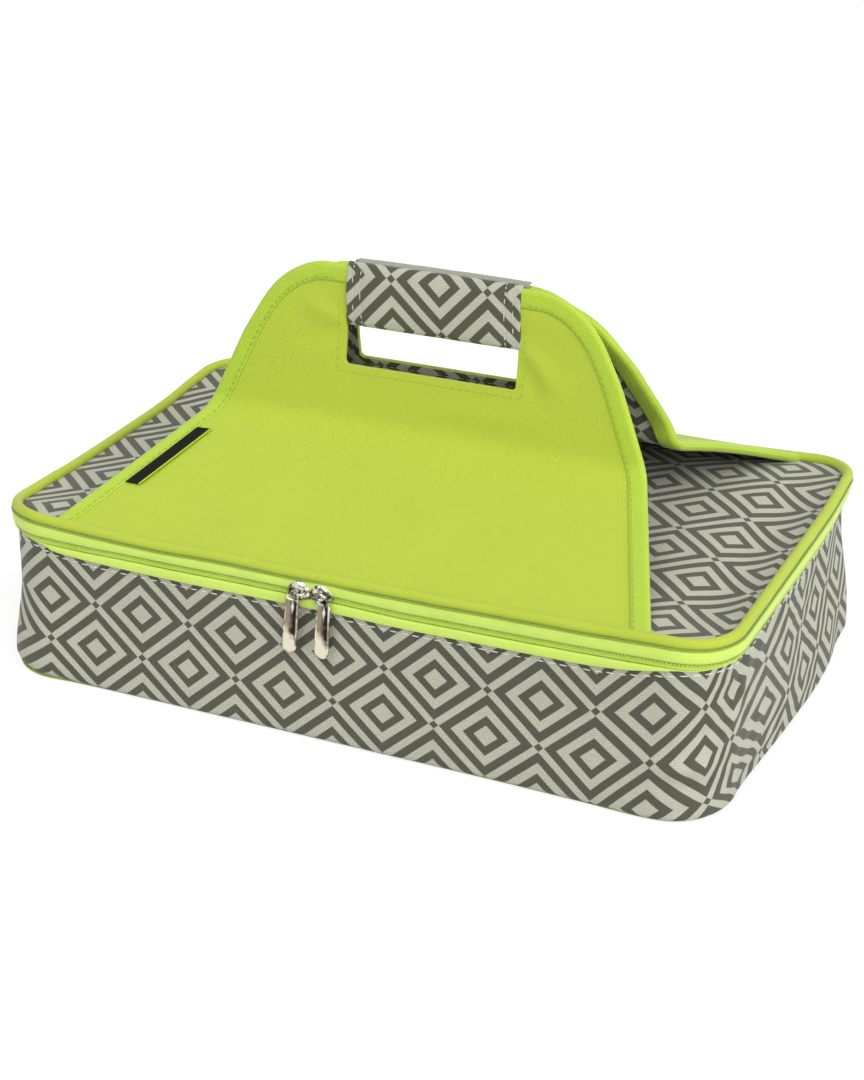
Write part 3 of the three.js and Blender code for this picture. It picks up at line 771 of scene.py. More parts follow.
def wall_row(along, up):
    """Height of the cloth at a share up the wall, and how far it has turned in under the foot."""
    foot = FOOT_ROUND + LEFT_FOOT_ROUNDER * swell(front_along(along), LEFT_CORNER, LEFT_CORNER_REACH)
    if up < FOOT_ROWS:
        angle = (1 - up / FOOT_ROWS) * math.pi / 2
        return FOOT_LIFT + foot * (1 - math.sin(angle)), foot * (1 - math.cos(angle))
    share = (up - FOOT_ROWS) / (1 - FOOT_ROWS)
    top = band_foot(along) + WALL_TOP_LAP
    return FOOT_LIFT + foot + (top - foot) * share, 0.0


def tub_cloth():
    def place(across, up):
        along = (across - 0.5) * outline.length
        height, turned = wall_row(along, up)
        return outline.point(along, wall_out(along, height) - turned, height)

    def pattern(across, up):
        along = (across - 0.5) * outline.length
        height, turned = wall_row(along, up)
        creep_up = by_length(PRINT_CREEP_UP, along) + zip_lift(along) * up
        creep_up += CREEP_BY_FLARE * flare(along, height)
        creep_along = by_length(PRINT_CREEP_ALONG, along) * smooth(height / CREEP_FADE)
        waver = 4 * ripple((along, height, 0), PRINT_WOBBLE_LENGTH, 4.0)
        phase = 2 * math.pi * height / SHIRR_PITCH + waver
        wobble = PRINT_WOBBLE * math.sin(phase) * shirred(front_along(along))
        across_by = along - TUB_PRINT.x + creep_along + wobble
        return across_by, height - turned - TUB_PRINT.y - creep_up

    bm = cloth_net(OUTLINE_COLUMNS, WALL_ROWS, place, pattern, merge=True)
    piece = add_piece("tub_cloth", bm, [printed])
    thicken(piece, CLOTH_WALL)
    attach(piece, "tub")
    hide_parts("outer_shell")


# Nearer the middle of a square than this, a point counts as the middle itself
MIDDLE_WITHIN = 1e-9


def ring_share(s, t):
    """A square's place as the length round a ring and the ring's share of the whole."""
    level = max(abs(s), abs(t))
    if level < MIDDLE_WITHIN:
        return 0.0, 0.0
    half_front = outline.x + outline.arc / 2
    half_side = outline.y + outline.arc / 2
    if -t >= abs(s):
        return s / level * half_front, level
    if s >= abs(t):
        return half_front + half_side + t / level * half_side, level
    if t >= abs(s):
        return 2 * (half_front + half_side) - s / level * half_front, level
    return -half_front - half_side - t / level * half_side, level


def panel(name, inset, level, height, material, columns=96, rows=64):
    """A rounded panel with its edge at a level; height gives its surface at a point, by length and share."""

    def flat(across, up):
        along, share = ring_share(2 * across - 1, 2 * up - 1)
        edge = outline.point(along, -inset, level)
        return Vector((edge.x, edge.y, 0)) * share, along, share

    def place(across, up):
        spot, along, share = flat(across, up)
        return Vector((spot.x, spot.y, height(spot, along, share)))

    def pattern(across, up):
        spot, _, _ = flat(across, up)
        return spot.x - LID_PRINT.x, spot.y - LID_PRINT.y

    bm = cloth_net(columns, rows, place, pattern)
    return add_piece(name, bm, [material])


BASE_CLOTH_WALL = 0.0009
BASE_HEIGHT = 0.0014
BASE_RIPPLE = 0.0002
BASE_RIPPLE_LENGTH = 0.05
BASE_EDGE_GAP = 0.0002


def base_cloth():
    def height(spot, *_):
        return BASE_HEIGHT + BASE_RIPPLE * ripple(spot, BASE_RIPPLE_LENGTH)

    piece = panel("base_cloth", FOOT_ROUND + BASE_EDGE_GAP, 0.0, height, printed)
    thicken(piece, BASE_CLOTH_WALL)
    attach(piece, "tub")
    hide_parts("base_panel")


BASE_PIPING_RADIUS = 0.0008
BASE_PIPING_TUCK = 0.0024


def base_piping():
    """The piping under the foot, half hidden where the cloth turns in over it."""

    def section(share, _):
        out, up = rounded(share, BASE_PIPING_RADIUS, BASE_PIPING_RADIUS, 1.0)
        return out - BASE_PIPING_TUCK, BASE_PIPING_RADIUS + up

    # Its tape is darkened as painted shade, for the shade under the foot
    piece = sweep("base_edge_piping", section, 12, shade_painted_tape)
    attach(piece, "tub")
    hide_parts("base_piping")


# Bands, zip tape and the lid's piping

BAND_UNDER_TAPE = 0.0002
BAND_LEAST_HEIGHT = 0.0008
BAND_FULL_HEIGHT = 0.003
ZIP_TAPE_HALF = 0.00055
UPPER_BAND_HALF = 0.0016
UPPER_BAND_OUT = 0.0012
UPPER_BAND_LAP = 0.0006
# The band on the lid humps a little over the right slider
BAND_HUMP = 0.0009
BAND_HUMP_MIDDLE = -0.004
BAND_HUMP_REACH = 0.011
# A cord in the seam under the lid's piping, dark as painted shadow: how far out, how far up, and its half
# width and height
SEAM_SHADOW_CORD_OUT = 0.0022
SEAM_SHADOW_CORD_LIFT = 0.0002
SEAM_SHADOW_CORD_HALF_WIDE = 0.0009
SEAM_SHADOW_CORD_HALF_TALL = 0.00045
PIPING_UNEVEN = 0.05
PIPING_UNEVEN_LENGTH = 0.02


def tape_foot(along):
    return max(BAND_TOP + zip_lift(along), band_foot(along))


def lower_band():
    """The webbing under the zip; it narrows round the corners."""

    def section(share, along):
        top = tape_foot(along) - BAND_UNDER_TAPE
        bottom = min(band_foot(along), top - BAND_LEAST_HEIGHT)
        full = min((top - bottom) / BAND_FULL_HEIGHT, 1.0)
        out, up = rounded(share, band_out / 2 * full, (top - bottom) / 2, 0.6)
        return band_out / 2 * full + out, (top + bottom) / 2 + up

    piece = sweep("lower_band", section, 20, band_webbing)
    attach(piece, "tub")
    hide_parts("lower_zip_band")


def zip_tape():
    """The zip's lower tape, sewn under the edge of the lower band."""

    def section(share, along):
        top, bottom = TAPE_TOP + zip_lift(along), tape_foot(along)
        out, up = rounded(share, ZIP_TAPE_HALF, (top - bottom) / 2, 0.4)
        return ZIP_TAPE_HALF + out, (top + bottom) / 2 + up

    piece = sweep("lower_zip_tape", section, 12, zip_weave)
    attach(piece, "tub")


def upper_band_top(along):
    hump = BAND_HUMP * swell(front_along(along), BAND_HUMP_MIDDLE, BAND_HUMP_REACH)
    return upper_band_high.z + UPPER_BAND_LAP + edge_lift(along) + hump


def seam_shadow_cord():
    """A cord along the seam between the lid's piping and its band; its dark colour is painted shadow."""

    def section(share, along):
        out, up = rounded(share, SEAM_SHADOW_CORD_HALF_WIDE, SEAM_SHADOW_CORD_HALF_TALL, 1.0)
        return SEAM_SHADOW_CORD_OUT + out, upper_band_top(along) + SEAM_SHADOW_CORD_LIFT + up

    piece = sweep("lid_seam_shadow_cord", section, 8, shade_painted_tape)
    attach(piece, "lid")


def upper_band():
    def section(share, along):
        top = upper_band_top(along)
        bottom = BAND_LIP + zip_lift(along)
        out, up = rounded(share, UPPER_BAND_HALF, (top - bottom) / 2, 0.7)
        return UPPER_BAND_OUT + out, (top + bottom) / 2 + up

    piece = sweep("upper_band", section, 20, band_webbing)
    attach(piece, "lid")
    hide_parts("upper_zip_band")


def lid_piping():
    def section(share, along):
        spot, _ = outline.at(along)
        uneven = PIPING_UNEVEN * ripple((spot.x, spot.y, 0), PIPING_UNEVEN_LENGTH, 9.0)
        radius = piping_radius * (1 + uneven)
        out, up = rounded(share, radius, radius, 1.0)
        return piping_out + out, piping_height + up + edge_lift(along)

    piece = sweep("lid_edge_piping", section, 20, canvas)
    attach(piece, "lid")
    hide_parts("lid_piping")


# Coils, and the strip that joins tub and lid where the zip doesn't open

COIL_PITCH = 0.0019
COIL_RADIUS = 0.0009
COIL_THREAD = 0.00042
COIL_ROWS_APART = 0.0026
COIL_END_GAP = 0.001
POINTS_PER_TURN = 6
HINGE_REACH = 0.0015


def coil_row(name, node, body, middle):
    """One thread wound along the zip, from one end of the hinge strip round the front to the other."""
    end = outline.length / 2 - (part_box("hinge_strip")[1].x + COIL_END_GAP)
    turns = round(2 * end / COIL_PITCH)

    def place(across, up):
        angle = 2 * math.pi * turns * across
        round_it = 2 * math.pi * up
        reach = COIL_RADIUS - COIL_THREAD + COIL_THREAD * math.cos(round_it)
        along = (2 * across - 1) * end
        level = middle + reach * math.sin(angle) + zip_lift(along)
        along += COIL_THREAD * math.sin(round_it)
        return outline.point(along, COIL_OUT + reach * math.cos(angle), level)

    def pattern(across, up):
        return across * 2 * end, up * COIL_THREAD

    bm = cloth_net(turns * POINTS_PER_TURN, 4, place, pattern, merge=True)
    close_ends(bm)
    piece = add_piece(name, bm, [coil_nylon])
    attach(piece, body)
    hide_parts(node)


def hinge_cloth():
    low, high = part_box("hinge_strip")

    def place(across, up):
        x = high.x * (1 - 2 * across)
        z = low.z - HINGE_REACH + (high.z - low.z + 2 * HINGE_REACH) * up
        return Vector((x, high.y, z + zip_lift(outline.length / 2 - x)))

    bm = cloth_net(120, 8, place, lambda a, u: (a * 2 * high.x, u * (high.z - low.z)))
    piece = add_piece("hinge_cloth", bm, [tape])
    thicken(piece, high.y - low.y)
    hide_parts("hinge_strip")
    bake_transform(piece)


# Linings

LINING_INSET = 0.0068
LINING_OVER_BOARD = 0.0012
LINING_BELOW_FLOOR = 0.001
LINING_FLOOR_WIDER = 0.003
LINING_CRINKLE = 0.0006
WALL_CRINKLE_LENGTH = 0.02
FLAT_CRINKLE_LENGTH = 0.03
PADDED_WALL = 0.0055
FILM_WALL = 0.0006
LID_LINING_INSET = 0.0025
LID_LINING_LIFT = 0.0012
LID_LINING_UNDER_CLOTH = 0.0024
LID_LINING_LIFT_FROM = 0.6


def tub_lining():
    """The silvered bag inside the tub, thick enough to take in the foam."""
    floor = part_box("base_board")[1].z + LINING_OVER_BOARD
    foot = floor - LINING_BELOW_FLOOR

    def place(across, up):
        along = (across - 0.5) * outline.length
        height = foot + (lining_high.z + zip_lift(along) - foot) * up
        crinkle = LINING_CRINKLE * ripple(outline.point(along, 0, height), WALL_CRINKLE_LENGTH, 6.0)
        return outline.point(along, -LINING_INSET + crinkle, height)

    bm = cloth_net(OUTLINE_COLUMNS // 2, 24, place, lambda a, u: (a, u), merge=True)
    bmesh.ops.reverse_faces(bm, faces=bm.faces)
    piece = add_piece("tub_lining", bm, [film])
    thicken(piece, PADDED_WALL)
    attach(piece, "tub")
    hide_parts("tub_liner", "wall_foam")

    def floor_height(spot, *_):
        return floor + LINING_CRINKLE * ripple(spot, FLAT_CRINKLE_LENGTH, 3.0)

    floor_piece = panel("tub_lining_floor", LINING_INSET - LINING_FLOOR_WIDER, floor, floor_height, film)
    thicken(floor_piece, FILM_WALL)
    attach(floor_piece, "tub")


def lid_lining():
    def height(spot, along, share):
        crinkle = LINING_CRINKLE * ripple(spot, FLAT_CRINKLE_LENGTH, 8.0)
        near_edge = smooth((share - LID_LINING_LIFT_FROM) / (1 - LID_LINING_LIFT_FROM))
        level = lid_lining_bottom + LID_LINING_LIFT + crinkle + zip_lift(along) * near_edge
        return min(level, lid_surface(spot, along, share) - LID_LINING_UNDER_CLOTH)

    piece = panel("lid_lining", LID_LINING_INSET, lid_lining_bottom, height, film)
    thicken(piece, FILM_WALL)
    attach(piece, "lid")
    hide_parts("lid_liner", "lid_foam")


# Lid

LID_EDGE_DROP = 0.0012
LID_WAVE = 0.0012
LID_WAVE_LENGTH = 0.06
LID_RIGHT_DIP = 0.0030
# Shares of the way from the lid's middle to its edge
LID_LIFT_FROM = 0.55
LID_CROWN_TO = 0.75
LID_WAVES_TO = 0.93
LID_DIP_MIDDLE = 0.90
LID_DIP_REACH = 0.07
LID_DIP_DEEP = 0.5
LID_DIP_FADE = 0.45
# The lid's cloth reaches to this share of a radius from the piping's middle
LID_UNDER_PIPING = 0.6


def lid_surface(spot, along, share):
    """Height of the lid's cloth: a little crowned, wavy towards its edges, and following their lift."""
    lift = edge_lift(along) * smooth((share - LID_LIFT_FROM) / (1 - LID_LIFT_FROM))
    across = spot.x / shell_high.x
    deep = spot.y / shell_high.y
    near_edge = max(abs(across), abs(deep))
    crown = LID_EDGE_DROP * (1 - smooth((near_edge - LID_CROWN_TO) / (1 - LID_CROWN_TO)))
    dip = LID_RIGHT_DIP * swell(across, LID_DIP_MIDDLE, LID_DIP_REACH)
    dip *= 1 - smooth((abs(deep) - LID_DIP_DEEP) / LID_DIP_FADE)
    waves = LID_WAVE * ripple((spot.x, spot.y, 0), LID_WAVE_LENGTH, 2.0) * (0.4 + 0.6 * near_edge)
    fade = 1 - smooth((near_edge - LID_WAVES_TO) / (1 - LID_WAVES_TO))
    return lid_top - LID_EDGE_DROP + crown + lift + (waves - dip) * fade


def lid_cloth():
    inset = piping_radius * LID_UNDER_PIPING - piping_out
    piece = panel("lid_cloth", inset, lid_top, lid_surface, printed, columns=132, rows=84)
    thicken(piece, CLOTH_WALL)
    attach(piece, "lid")
    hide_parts("lid_panel")


# Flaps and handles


def fold_profile(rise):
    """The point, along y and z from the crease, and the slope of the cloth at a rise above the crease."""
    bend = HANDLE_SLOPE - flap_slope
    if rise <= -FOLD_REACH:
        slope = flap_slope
        return rise * math.cos(slope), rise * math.sin(slope), slope
    if rise >= FOLD_REACH:
        slope = HANDLE_SLOPE
        return rise * math.cos(slope), rise * math.sin(slope), slope
    radius = FOLD_REACH / math.tan(bend / 2)
    share = (rise + FOLD_REACH) / (2 * FOLD_REACH)
    slope = flap_slope + bend * share
    centre_y = -FOLD_REACH * math.cos(flap_slope) - radius * math.sin(flap_slope)
    centre_z = -FOLD_REACH * math.sin(flap_slope) + radius * math.cos(flap_slope)
    return centre_y + radius * math.sin(slope), centre_z - radius * math.cos(slope), slope


def slot_shift(x, rise):
    """How far the front slot and the foot of its grip lie off centre."""
    edges = (rise, SLOT_SHIFT_TOP - rise, SLOT_SHIFT_HALF - abs(x))
    return SLOT_SHIFT * math.prod(smooth(inside / SLOT_SHIFT_FADE) for inside in edges)


# Soft folds that run out from the grip: where one starts, which way it runs, how far, and how proud
HANDLE_FOLDS = (
    (0.056, 0.055, -40, 0.026, 0.0016),
    (0.056, 0.050, -62, 0.020, -0.0011),
    (0.056, 0.072, 8, 0.018, 0.0008),
    (-0.056, 0.058, 158, 0.024, 0.0013),
    (-0.056, 0.052, 200, 0.022, -0.0009),
    (-0.056, 0.046, 228, 0.020, 0.0008),
    (0.010, 0.016, 4, 0.050, 0.0007),
)
SOFT_FOLD_WIDTH = 0.0035


def crumple(x, rise, start_x, start_rise, turned, reach, proud):
    """Height of one soft fold at a point of the handle's cloth."""
    heading = math.radians(turned)
    over_x, over_rise = x - start_x, rise - start_rise
    run = (over_x * math.cos(heading) + over_rise * math.sin(heading)) / reach
    aside = over_rise * math.cos(heading) - over_x * math.sin(heading)
    width = SOFT_FOLD_WIDTH * (1 + max(run, 0.0))
    return proud * smooth(run * 3 + 0.6) * smooth(1.5 - run) * swell(aside, 0.0, width)


def cloth_place(turn, x, rise, depth):
    """A point of a flap or handle; turn is 1 for the front pair and -1 for the rear pair."""
    y, z, slope = fold_profile(rise)
    sag = 0.0
    if rise < 0:
        share = min(-rise / flap_length, 1.0)
        belly = FLAP_SAG if turn > 0 else -REAR_FLAP_CROWN
        sag = belly * math.sin(math.pi * share) * (1 - (x / FLAP_SAG_HALF) ** 2)
        z += edge_lift(x if turn > 0 else outline.length / 2 + x) * share**2
    beside = smooth((abs(x) - SHOULDER_FROM) / SHOULDER_FADE)
    slack = SHOULDER_SLACK * beside * smooth((rise - SHOULDER_ABOVE) / SHOULDER_FADE)
    if rise > 0 and turn < 0:
        edge = smooth((abs(x) - REAR_EDGE_FROM) / REAR_EDGE_FADE)
        y += by_length(REAR_LEAN_MIDDLE, rise) * (1 - edge) + by_length(REAR_LEAN_EDGE, rise) * edge
        z -= by_length(REAR_SINK_MIDDLE, rise) * (1 - edge) + by_length(REAR_SINK_EDGE, rise) * edge
    if rise > 0 and turn > 0:
        sag -= sum(crumple(x, rise, *fold) for fold in HANDLE_FOLDS)
        x += slot_shift(x, rise)
    x -= math.copysign(slack, x)
    back = depth + sag
    y += math.sin(slope) * back
    z -= math.cos(slope) * back
    return Vector((x * turn, (crease.y + y) * turn, crease.z + z))


# The edge of a flap and its handle, followed from the piping up to the grip
TAPE_INTO_GRIP = 0.0028
CREASE_BLEND = 0.04
shoulder_tilt = math.atan(HANDLE_LEAN)
shoulder_y = HANDLE_RISE - SHOULDER_RADIUS
shoulder_x = CREASE_HALF - shoulder_y * HANDLE_LEAN - SHOULDER_RADIUS * math.hypot(1, HANDLE_LEAN)
tangent_rise = shoulder_y + SHOULDER_RADIUS * math.sin(shoulder_tilt)
flap_side = (flap_length + FLAP_TUCK) * math.hypot(1, FLAP_LEAN)
handle_side = tangent_rise * math.hypot(1, HANDLE_LEAN)
shoulder_arc = SHOULDER_RADIUS * (math.pi / 2 - shoulder_tilt)
top_run = shoulder_x - SLOT_HALF + TAPE_INTO_GRIP
tape_run = flap_side + handle_side + shoulder_arc + top_run


def tape_edge(travel, inset):
    """The right-hand edge's x and rise at a length up it from the piping, set in from the edge."""
    if travel < flap_side + handle_side:
        lean = FLAP_LEAN if travel < flap_side else HANDLE_LEAN
        rise = (travel - flap_side) / math.hypot(1, lean)
        lean_here = FLAP_LEAN + (HANDLE_LEAN - FLAP_LEAN) * smooth(rise / CREASE_BLEND + 0.5)
        secant = math.hypot(1, lean_here)
        x = CREASE_HALF - rise * lean
        return x - inset / secant, rise - inset * lean_here / secant
    travel -= flap_side + handle_side
    radius = SHOULDER_RADIUS - inset
    if travel < shoulder_arc:
        angle = shoulder_tilt + travel / SHOULDER_RADIUS
        return shoulder_x + radius * math.cos(angle), shoulder_y + radius * math.sin(angle)
    return shoulder_x - (travel - shoulder_arc), HANDLE_RISE - inset


TAPE_ROUND = TAPE_DEPTH / 2
TAPE_FRONT_SHARE = 0.4
TAPE_DIP = 0.00025
TAPE_DIP_FROM = 0.006
TAPE_DIP_FADE = 0.003


def tape_section(share):
    """Set-in and depth of the folded tape, from its front inner edge round to its back one."""
    if share < TAPE_FRONT_SHARE:
        inset = TAPE_WIDTH + (TAPE_ROUND - TAPE_WIDTH) * share / TAPE_FRONT_SHARE
        return inset, TAPE_DIP * smooth((inset - TAPE_DIP_FROM) / TAPE_DIP_FADE)
    if share > 1 - TAPE_FRONT_SHARE:
        inset, depth = tape_section(1 - share)
        return inset, TAPE_DEPTH - depth
    angle = math.pi * (share - TAPE_FRONT_SHARE) / (1 - 2 * TAPE_FRONT_SHARE)
    return TAPE_ROUND * (1 - math.sin(angle)), TAPE_ROUND * (1 - math.cos(angle))


BEND_PAST_FOLD = 0.002


def fold_blend(piece, turn):
    """The cloth bends between its flap and its handle over the crease through fold_profile; here the points
    just below and above the crease are worked out but not used, and the piece's place is baked into its
    mesh.
    """
    reach = FOLD_REACH + BEND_PAST_FOLD
    below = Vector((0, crease.y - reach * math.cos(flap_slope), crease.z - reach * math.sin(flap_slope)))
    above = Vector((0, crease.y + reach * math.cos(HANDLE_SLOPE), crease.z + reach * math.sin(HANDLE_SLOPE)))
    below.y *= turn
    above.y *= turn
    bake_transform(piece)


def slice_faces(bm, faces, point, out, clear=False):
    """Cuts these faces along a plane, and drops what lies beyond it if clear is true."""
    edges = dict.fromkeys(e for f in faces for e in f.edges)
    verts = dict.fromkeys(v for f in faces for v in f.verts)
    geom = [*faces, *edges, *verts]
    bmesh.ops.bisect_plane(bm, geom=geom, plane_co=point, plane_no=out, clear_outer=clear, dist=CUT_WITHIN)


CLOTH_SQUARE = 0.003
NET_HALF = 0.180
CLOTH_UNDER_TAPE = 0.0007
EDGE_INSET = 0.001
SHOULDER_STEPS = 9


def cut_edges(bm):
    """Cuts a flat net down to the flap's slanted sides and the handle's rounded shoulders."""
    for hand in (1, -1):
        lower = [f for f in bm.faces if f.calc_center_median().y < 0]
        side = Vector((hand * (CREASE_HALF - EDGE_INSET), 0, 0))
        slice_faces(bm, lower, side, Vector((hand, FLAP_LEAN, 0)), clear=True)
        for step in range(SHOULDER_STEPS + 1):
            angle = shoulder_tilt + (math.pi / 2 - shoulder_tilt) * step / SHOULDER_STEPS
            out = Vector((hand * math.cos(angle), math.sin(angle), 0))
            point = Vector((hand * shoulder_x, shoulder_y, 0)) + out * (SHOULDER_RADIUS - EDGE_INSET)
            upper = [f for f in bm.faces if f.calc_center_median().y > 0]
            slice_faces(bm, upper, point, out, clear=True)


def side_cloth(side, turn):
    """Flap and handle in one piece of canvas, with the printed lining on its back."""
    low = -flap_length - FLAP_TUCK
    tall = HANDLE_RISE - CLOTH_UNDER_TAPE - low
    columns, rows = round(2 * NET_HALF / CLOTH_SQUARE), round(tall / CLOTH_SQUARE)
    bm = bmesh.new()
    bmesh.ops.create_grid(bm, x_segments=columns, y_segments=rows, size=0.5)
    for vert in bm.verts:
        vert.co = Vector((vert.co.x * 2 * NET_HALF, low + (vert.co.y + 0.5) * tall, 0))
    cut_edges(bm)
    cut_slot(bm)
    layer = bm.loops.layers.uv.new("Cloth")
    for face in bm.faces:
        for loop in face.loops:
            loop[layer].uv = (loop.vert.co.x - GRIP_PRINT.x, loop.vert.co.y - GRIP_PRINT.y)
    for vert in bm.verts:
        vert.co = cloth_place(turn, vert.co.x, vert.co.y, CANVAS_DEPTH)
    piece = add_piece(f"{side}_flap_and_handle", bm, [canvas, printed])
    thicken(piece, CLOTH_DEPTH, inner=1)
    parts = [f"{side}_{part}" for part in ("flap", "handle")]
    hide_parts(*(f"{part}_{sheet}" for part in parts for sheet in ("canvas", "core", "lining")))
    fold_blend(piece, turn)


def slot_distance(x, rise):
    """How far a point lies inside the hand slot's outline, below zero outside it."""
    into_x = SLOT_HALF - abs(x)
    into_y = rise - SLOT_BOTTOM
    if into_x < SLOT_CORNER and into_y < SLOT_CORNER:
        return SLOT_CORNER - math.hypot(SLOT_CORNER - into_x, SLOT_CORNER - into_y)
    return min(into_x, into_y)


SLOT_INTO_GRIP = 0.006
SLOT_CORNER_MARGIN = 0.003
SLOT_CORNER_STEPS = 4


def cut_slot(bm):
    """Cuts the hand slot out of the flat cloth; the grip hides its square top."""
    top = GRIP_BOTTOM + SLOT_INTO_GRIP
    right, up = Vector((1, 0, 0)), Vector((0, 1, 0))
    for out, level in ((right, SLOT_HALF), (right, -SLOT_HALF), (up, SLOT_BOTTOM), (up, top)):
        slice_faces(bm, bm.faces[:], out * level, out)
    reach = SLOT_CORNER + SLOT_CORNER_MARGIN
    for hand in (1, -1):
        corner = Vector((hand * (SLOT_HALF - SLOT_CORNER), SLOT_BOTTOM + SLOT_CORNER, 0))
        for step in range(1, SLOT_CORNER_STEPS):
            angle = math.pi / 2 * step / SLOT_CORNER_STEPS
            out = Vector((hand * math.cos(angle), -math.sin(angle), 0))
            middles = [(face, face.calc_center_median()) for face in bm.faces]
            near = [
                face
                for face, middle in middles
                if 0 < SLOT_HALF - hand * middle.x < reach and 0 < middle.y - SLOT_BOTTOM < reach
            ]
            slice_faces(bm, near, corner + out * SLOT_CORNER, out)
    inside = []
    for face in bm.faces:
        middle = face.calc_center_median()
        if middle.y < top and slot_distance(middle.x, middle.y) > 0:
            inside.append(face)
    bmesh.ops.delete(bm, geom=inside, context="FACES")


TAPE_ROUND_IT = 0.025


def side_binding(side, turn, hand, label):
    def place(across, up):
        inset, depth = tape_section(up)
        x, rise = tape_edge(across * tape_run, inset)
        return cloth_place(turn, hand * x, rise, depth)

    bm = cloth_net(150, 20, place, lambda a, u: (a * tape_run, u * TAPE_ROUND_IT))
    if turn * hand > 0:
        bmesh.ops.reverse_faces(bm, faces=bm.faces)
    piece = add_piece(f"{side}_binding_{label}", bm, [tape])
    thicken(piece, TAPE_WALL)
    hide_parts(f"{side}_flap_binding_{label}", f"{side}_handle_binding_{label}")
    fold_blend(piece, turn)


# Stitches

STITCH_LENGTH = 0.0030
STITCH_STEP = 0.0042
STITCH_HALF = 0.00035
# Any small distance out from the cloth, to find which way it faces
STITCH_OUT = 0.001
BINDING_SEAM_INSET = 0.0016
BINDING_SEAM_START = 0.004
BINDING_SEAM_SHORTER = 0.012
SLOT_SEAM_AWAY = 0.004
SLOT_SEAM_UP = 0.012
WALL_SEAM_STEP = 0.0062
WALL_SEAM_STITCH = 0.0046
WALL_SEAM_DROP = 0.0033
WALL_SEAM_PROUD = 0.0001


def stitch_row(name, places, material):
    """A row of stitches: each is a small spindle from one point to the next, raised at its middle."""
    bm = bmesh.new()
    for start, end, out in places:
        along = end - start
        side = along.cross(out).normalized()
        up = side.cross(along).normalized()
        turn = Matrix((side, up, along.normalized())).transposed().to_4x4()
        size = Matrix.Diagonal((2 * STITCH_HALF, 2 * STITCH_HALF, along.length, 1))
        matrix = Matrix.Translation((start + end) / 2) @ turn @ size
        bmesh.ops.create_uvsphere(bm, u_segments=6, v_segments=4, radius=0.5, matrix=matrix)
    bmesh.ops.recalc_face_normals(bm, faces=bm.faces)
    layer = bm.loops.layers.uv.new("Cloth")
    for face in bm.faces:
        for loop in face.loops:
            loop[layer].uv = (loop.vert.co.x, loop.vert.co.z)
    return add_piece(name, bm, [material])


def steps_along(length, step):
    count = int(length / step)
    return [(i + 0.5) * length / count for i in range(count)]


def cloth_stitch(turn, ends, depth, way):
    """One stitch on the face of a flap or handle that looks this way: -1 out, 1 in."""
    start, end = (cloth_place(turn, x, rise, depth) for x, rise in ends)
    return start, end, cloth_place(turn, *ends[0], depth + way * STITCH_OUT) - start


def binding_stitches(side, turn, hand, label):
    places = []
    inset = TAPE_WIDTH - BINDING_SEAM_INSET
    for way, depth in ((-1, 0.0), (1, TAPE_DEPTH)):
        for middle in steps_along(tape_run - BINDING_SEAM_SHORTER, STITCH_STEP):
            travel = middle + BINDING_SEAM_START
            ends = []
            for half in (-STITCH_LENGTH / 2, STITCH_LENGTH / 2):
                x, rise = tape_edge(travel + half, inset)
                ends.append((hand * x, rise))
            places.append(cloth_stitch(turn, ends, depth, way))
    piece = stitch_row(f"{side}_binding_stitches_{label}", places, lime_thread)
    fold_blend(piece, turn)


def slot_stitches(side, turn):
    """The row sewn round the hand slot, below and beside it."""
    half = SLOT_HALF + SLOT_SEAM_AWAY
    low = SLOT_BOTTOM - SLOT_SEAM_AWAY
    high = GRIP_BOTTOM + SLOT_SEAM_UP
    corners = [(-half, high), (-half, low), (half, low), (half, high)]
    places = []
    for (x0, rise0), (x1, rise1) in zip(corners, corners[1:]):
        length = math.hypot(x1 - x0, rise1 - rise0)
        for middle in steps_along(length, STITCH_STEP):
            shares = [(middle - STITCH_LENGTH / 2) / length, (middle + STITCH_LENGTH / 2) / length]
            ends = [(x0 + (x1 - x0) * share, rise0 + (rise1 - rise0) * share) for share in shares]
            for depth, way in ((CANVAS_DEPTH, -1), (CANVAS_DEPTH + CLOTH_DEPTH, 1)):
                places.append(cloth_stitch(turn, ends, depth, way))
    piece = stitch_row(f"{side}_slot_stitches", places, lime_thread)
    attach(piece, f"{side}_handle")


def wall_stitches():
    """The pale row just under the lower band."""
    places = []
    for middle in steps_along(outline.length, WALL_SEAM_STEP):
        height = band_foot(middle) - WALL_SEAM_DROP
        out_by = wall_out(middle, height) + WALL_SEAM_PROUD
        start = outline.point(middle - WALL_SEAM_STITCH / 2, out_by, height)
        end = outline.point(middle + WALL_SEAM_STITCH / 2, out_by, height)
        places.append((start, end, outline.at(middle)[1].to_3d()))
    piece = stitch_row("wall_stitches", places, pale_thread)
    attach(piece, "tub")


# Grips

GRIP_ROWS = 48
GRIP_TOP = HANDLE_RISE + 0.0018
GRIP_SEAMS = (0.0040, 0.0088)
GRIP_SEAM_REACH = 0.0012
GRIP_SEAM_PINCH = 0.10
GRIP_FLAT_END = 0.018
GRIP_END_PUFF = 0.66
GRIP_RIPPLE = 0.0004
GRIP_RIPPLE_LENGTH = 0.018
GRIP_CAP_SHARE = 0.03
# The sleeve's print is cut a little askew and drawn out
GRIP_PRINT_SLANT = 0.13
GRIP_PRINT_STRETCH = 1.035
# Shares round the section where a row of stitches starts on the outer and on the inner face
GRIP_STITCH_STARTS = (0.785, 0.285)
GRIP_STITCHES = 9
GRIP_STITCH_STEP = 0.05
GRIP_STITCH_SHARE = 0.032
GRIP_STITCH_PROUD = 0.0002
STRIP_START = 0.20
STRIP_SHARE = 0.16
STRIP_SHIFT = 0.0013
STRIP_END_GAP = 0.0003
STRIP_PROUD = 0.0006
STRIP_WALL = 0.0006
grip_middle = (GRIP_TOP + GRIP_BOTTOM) / 2


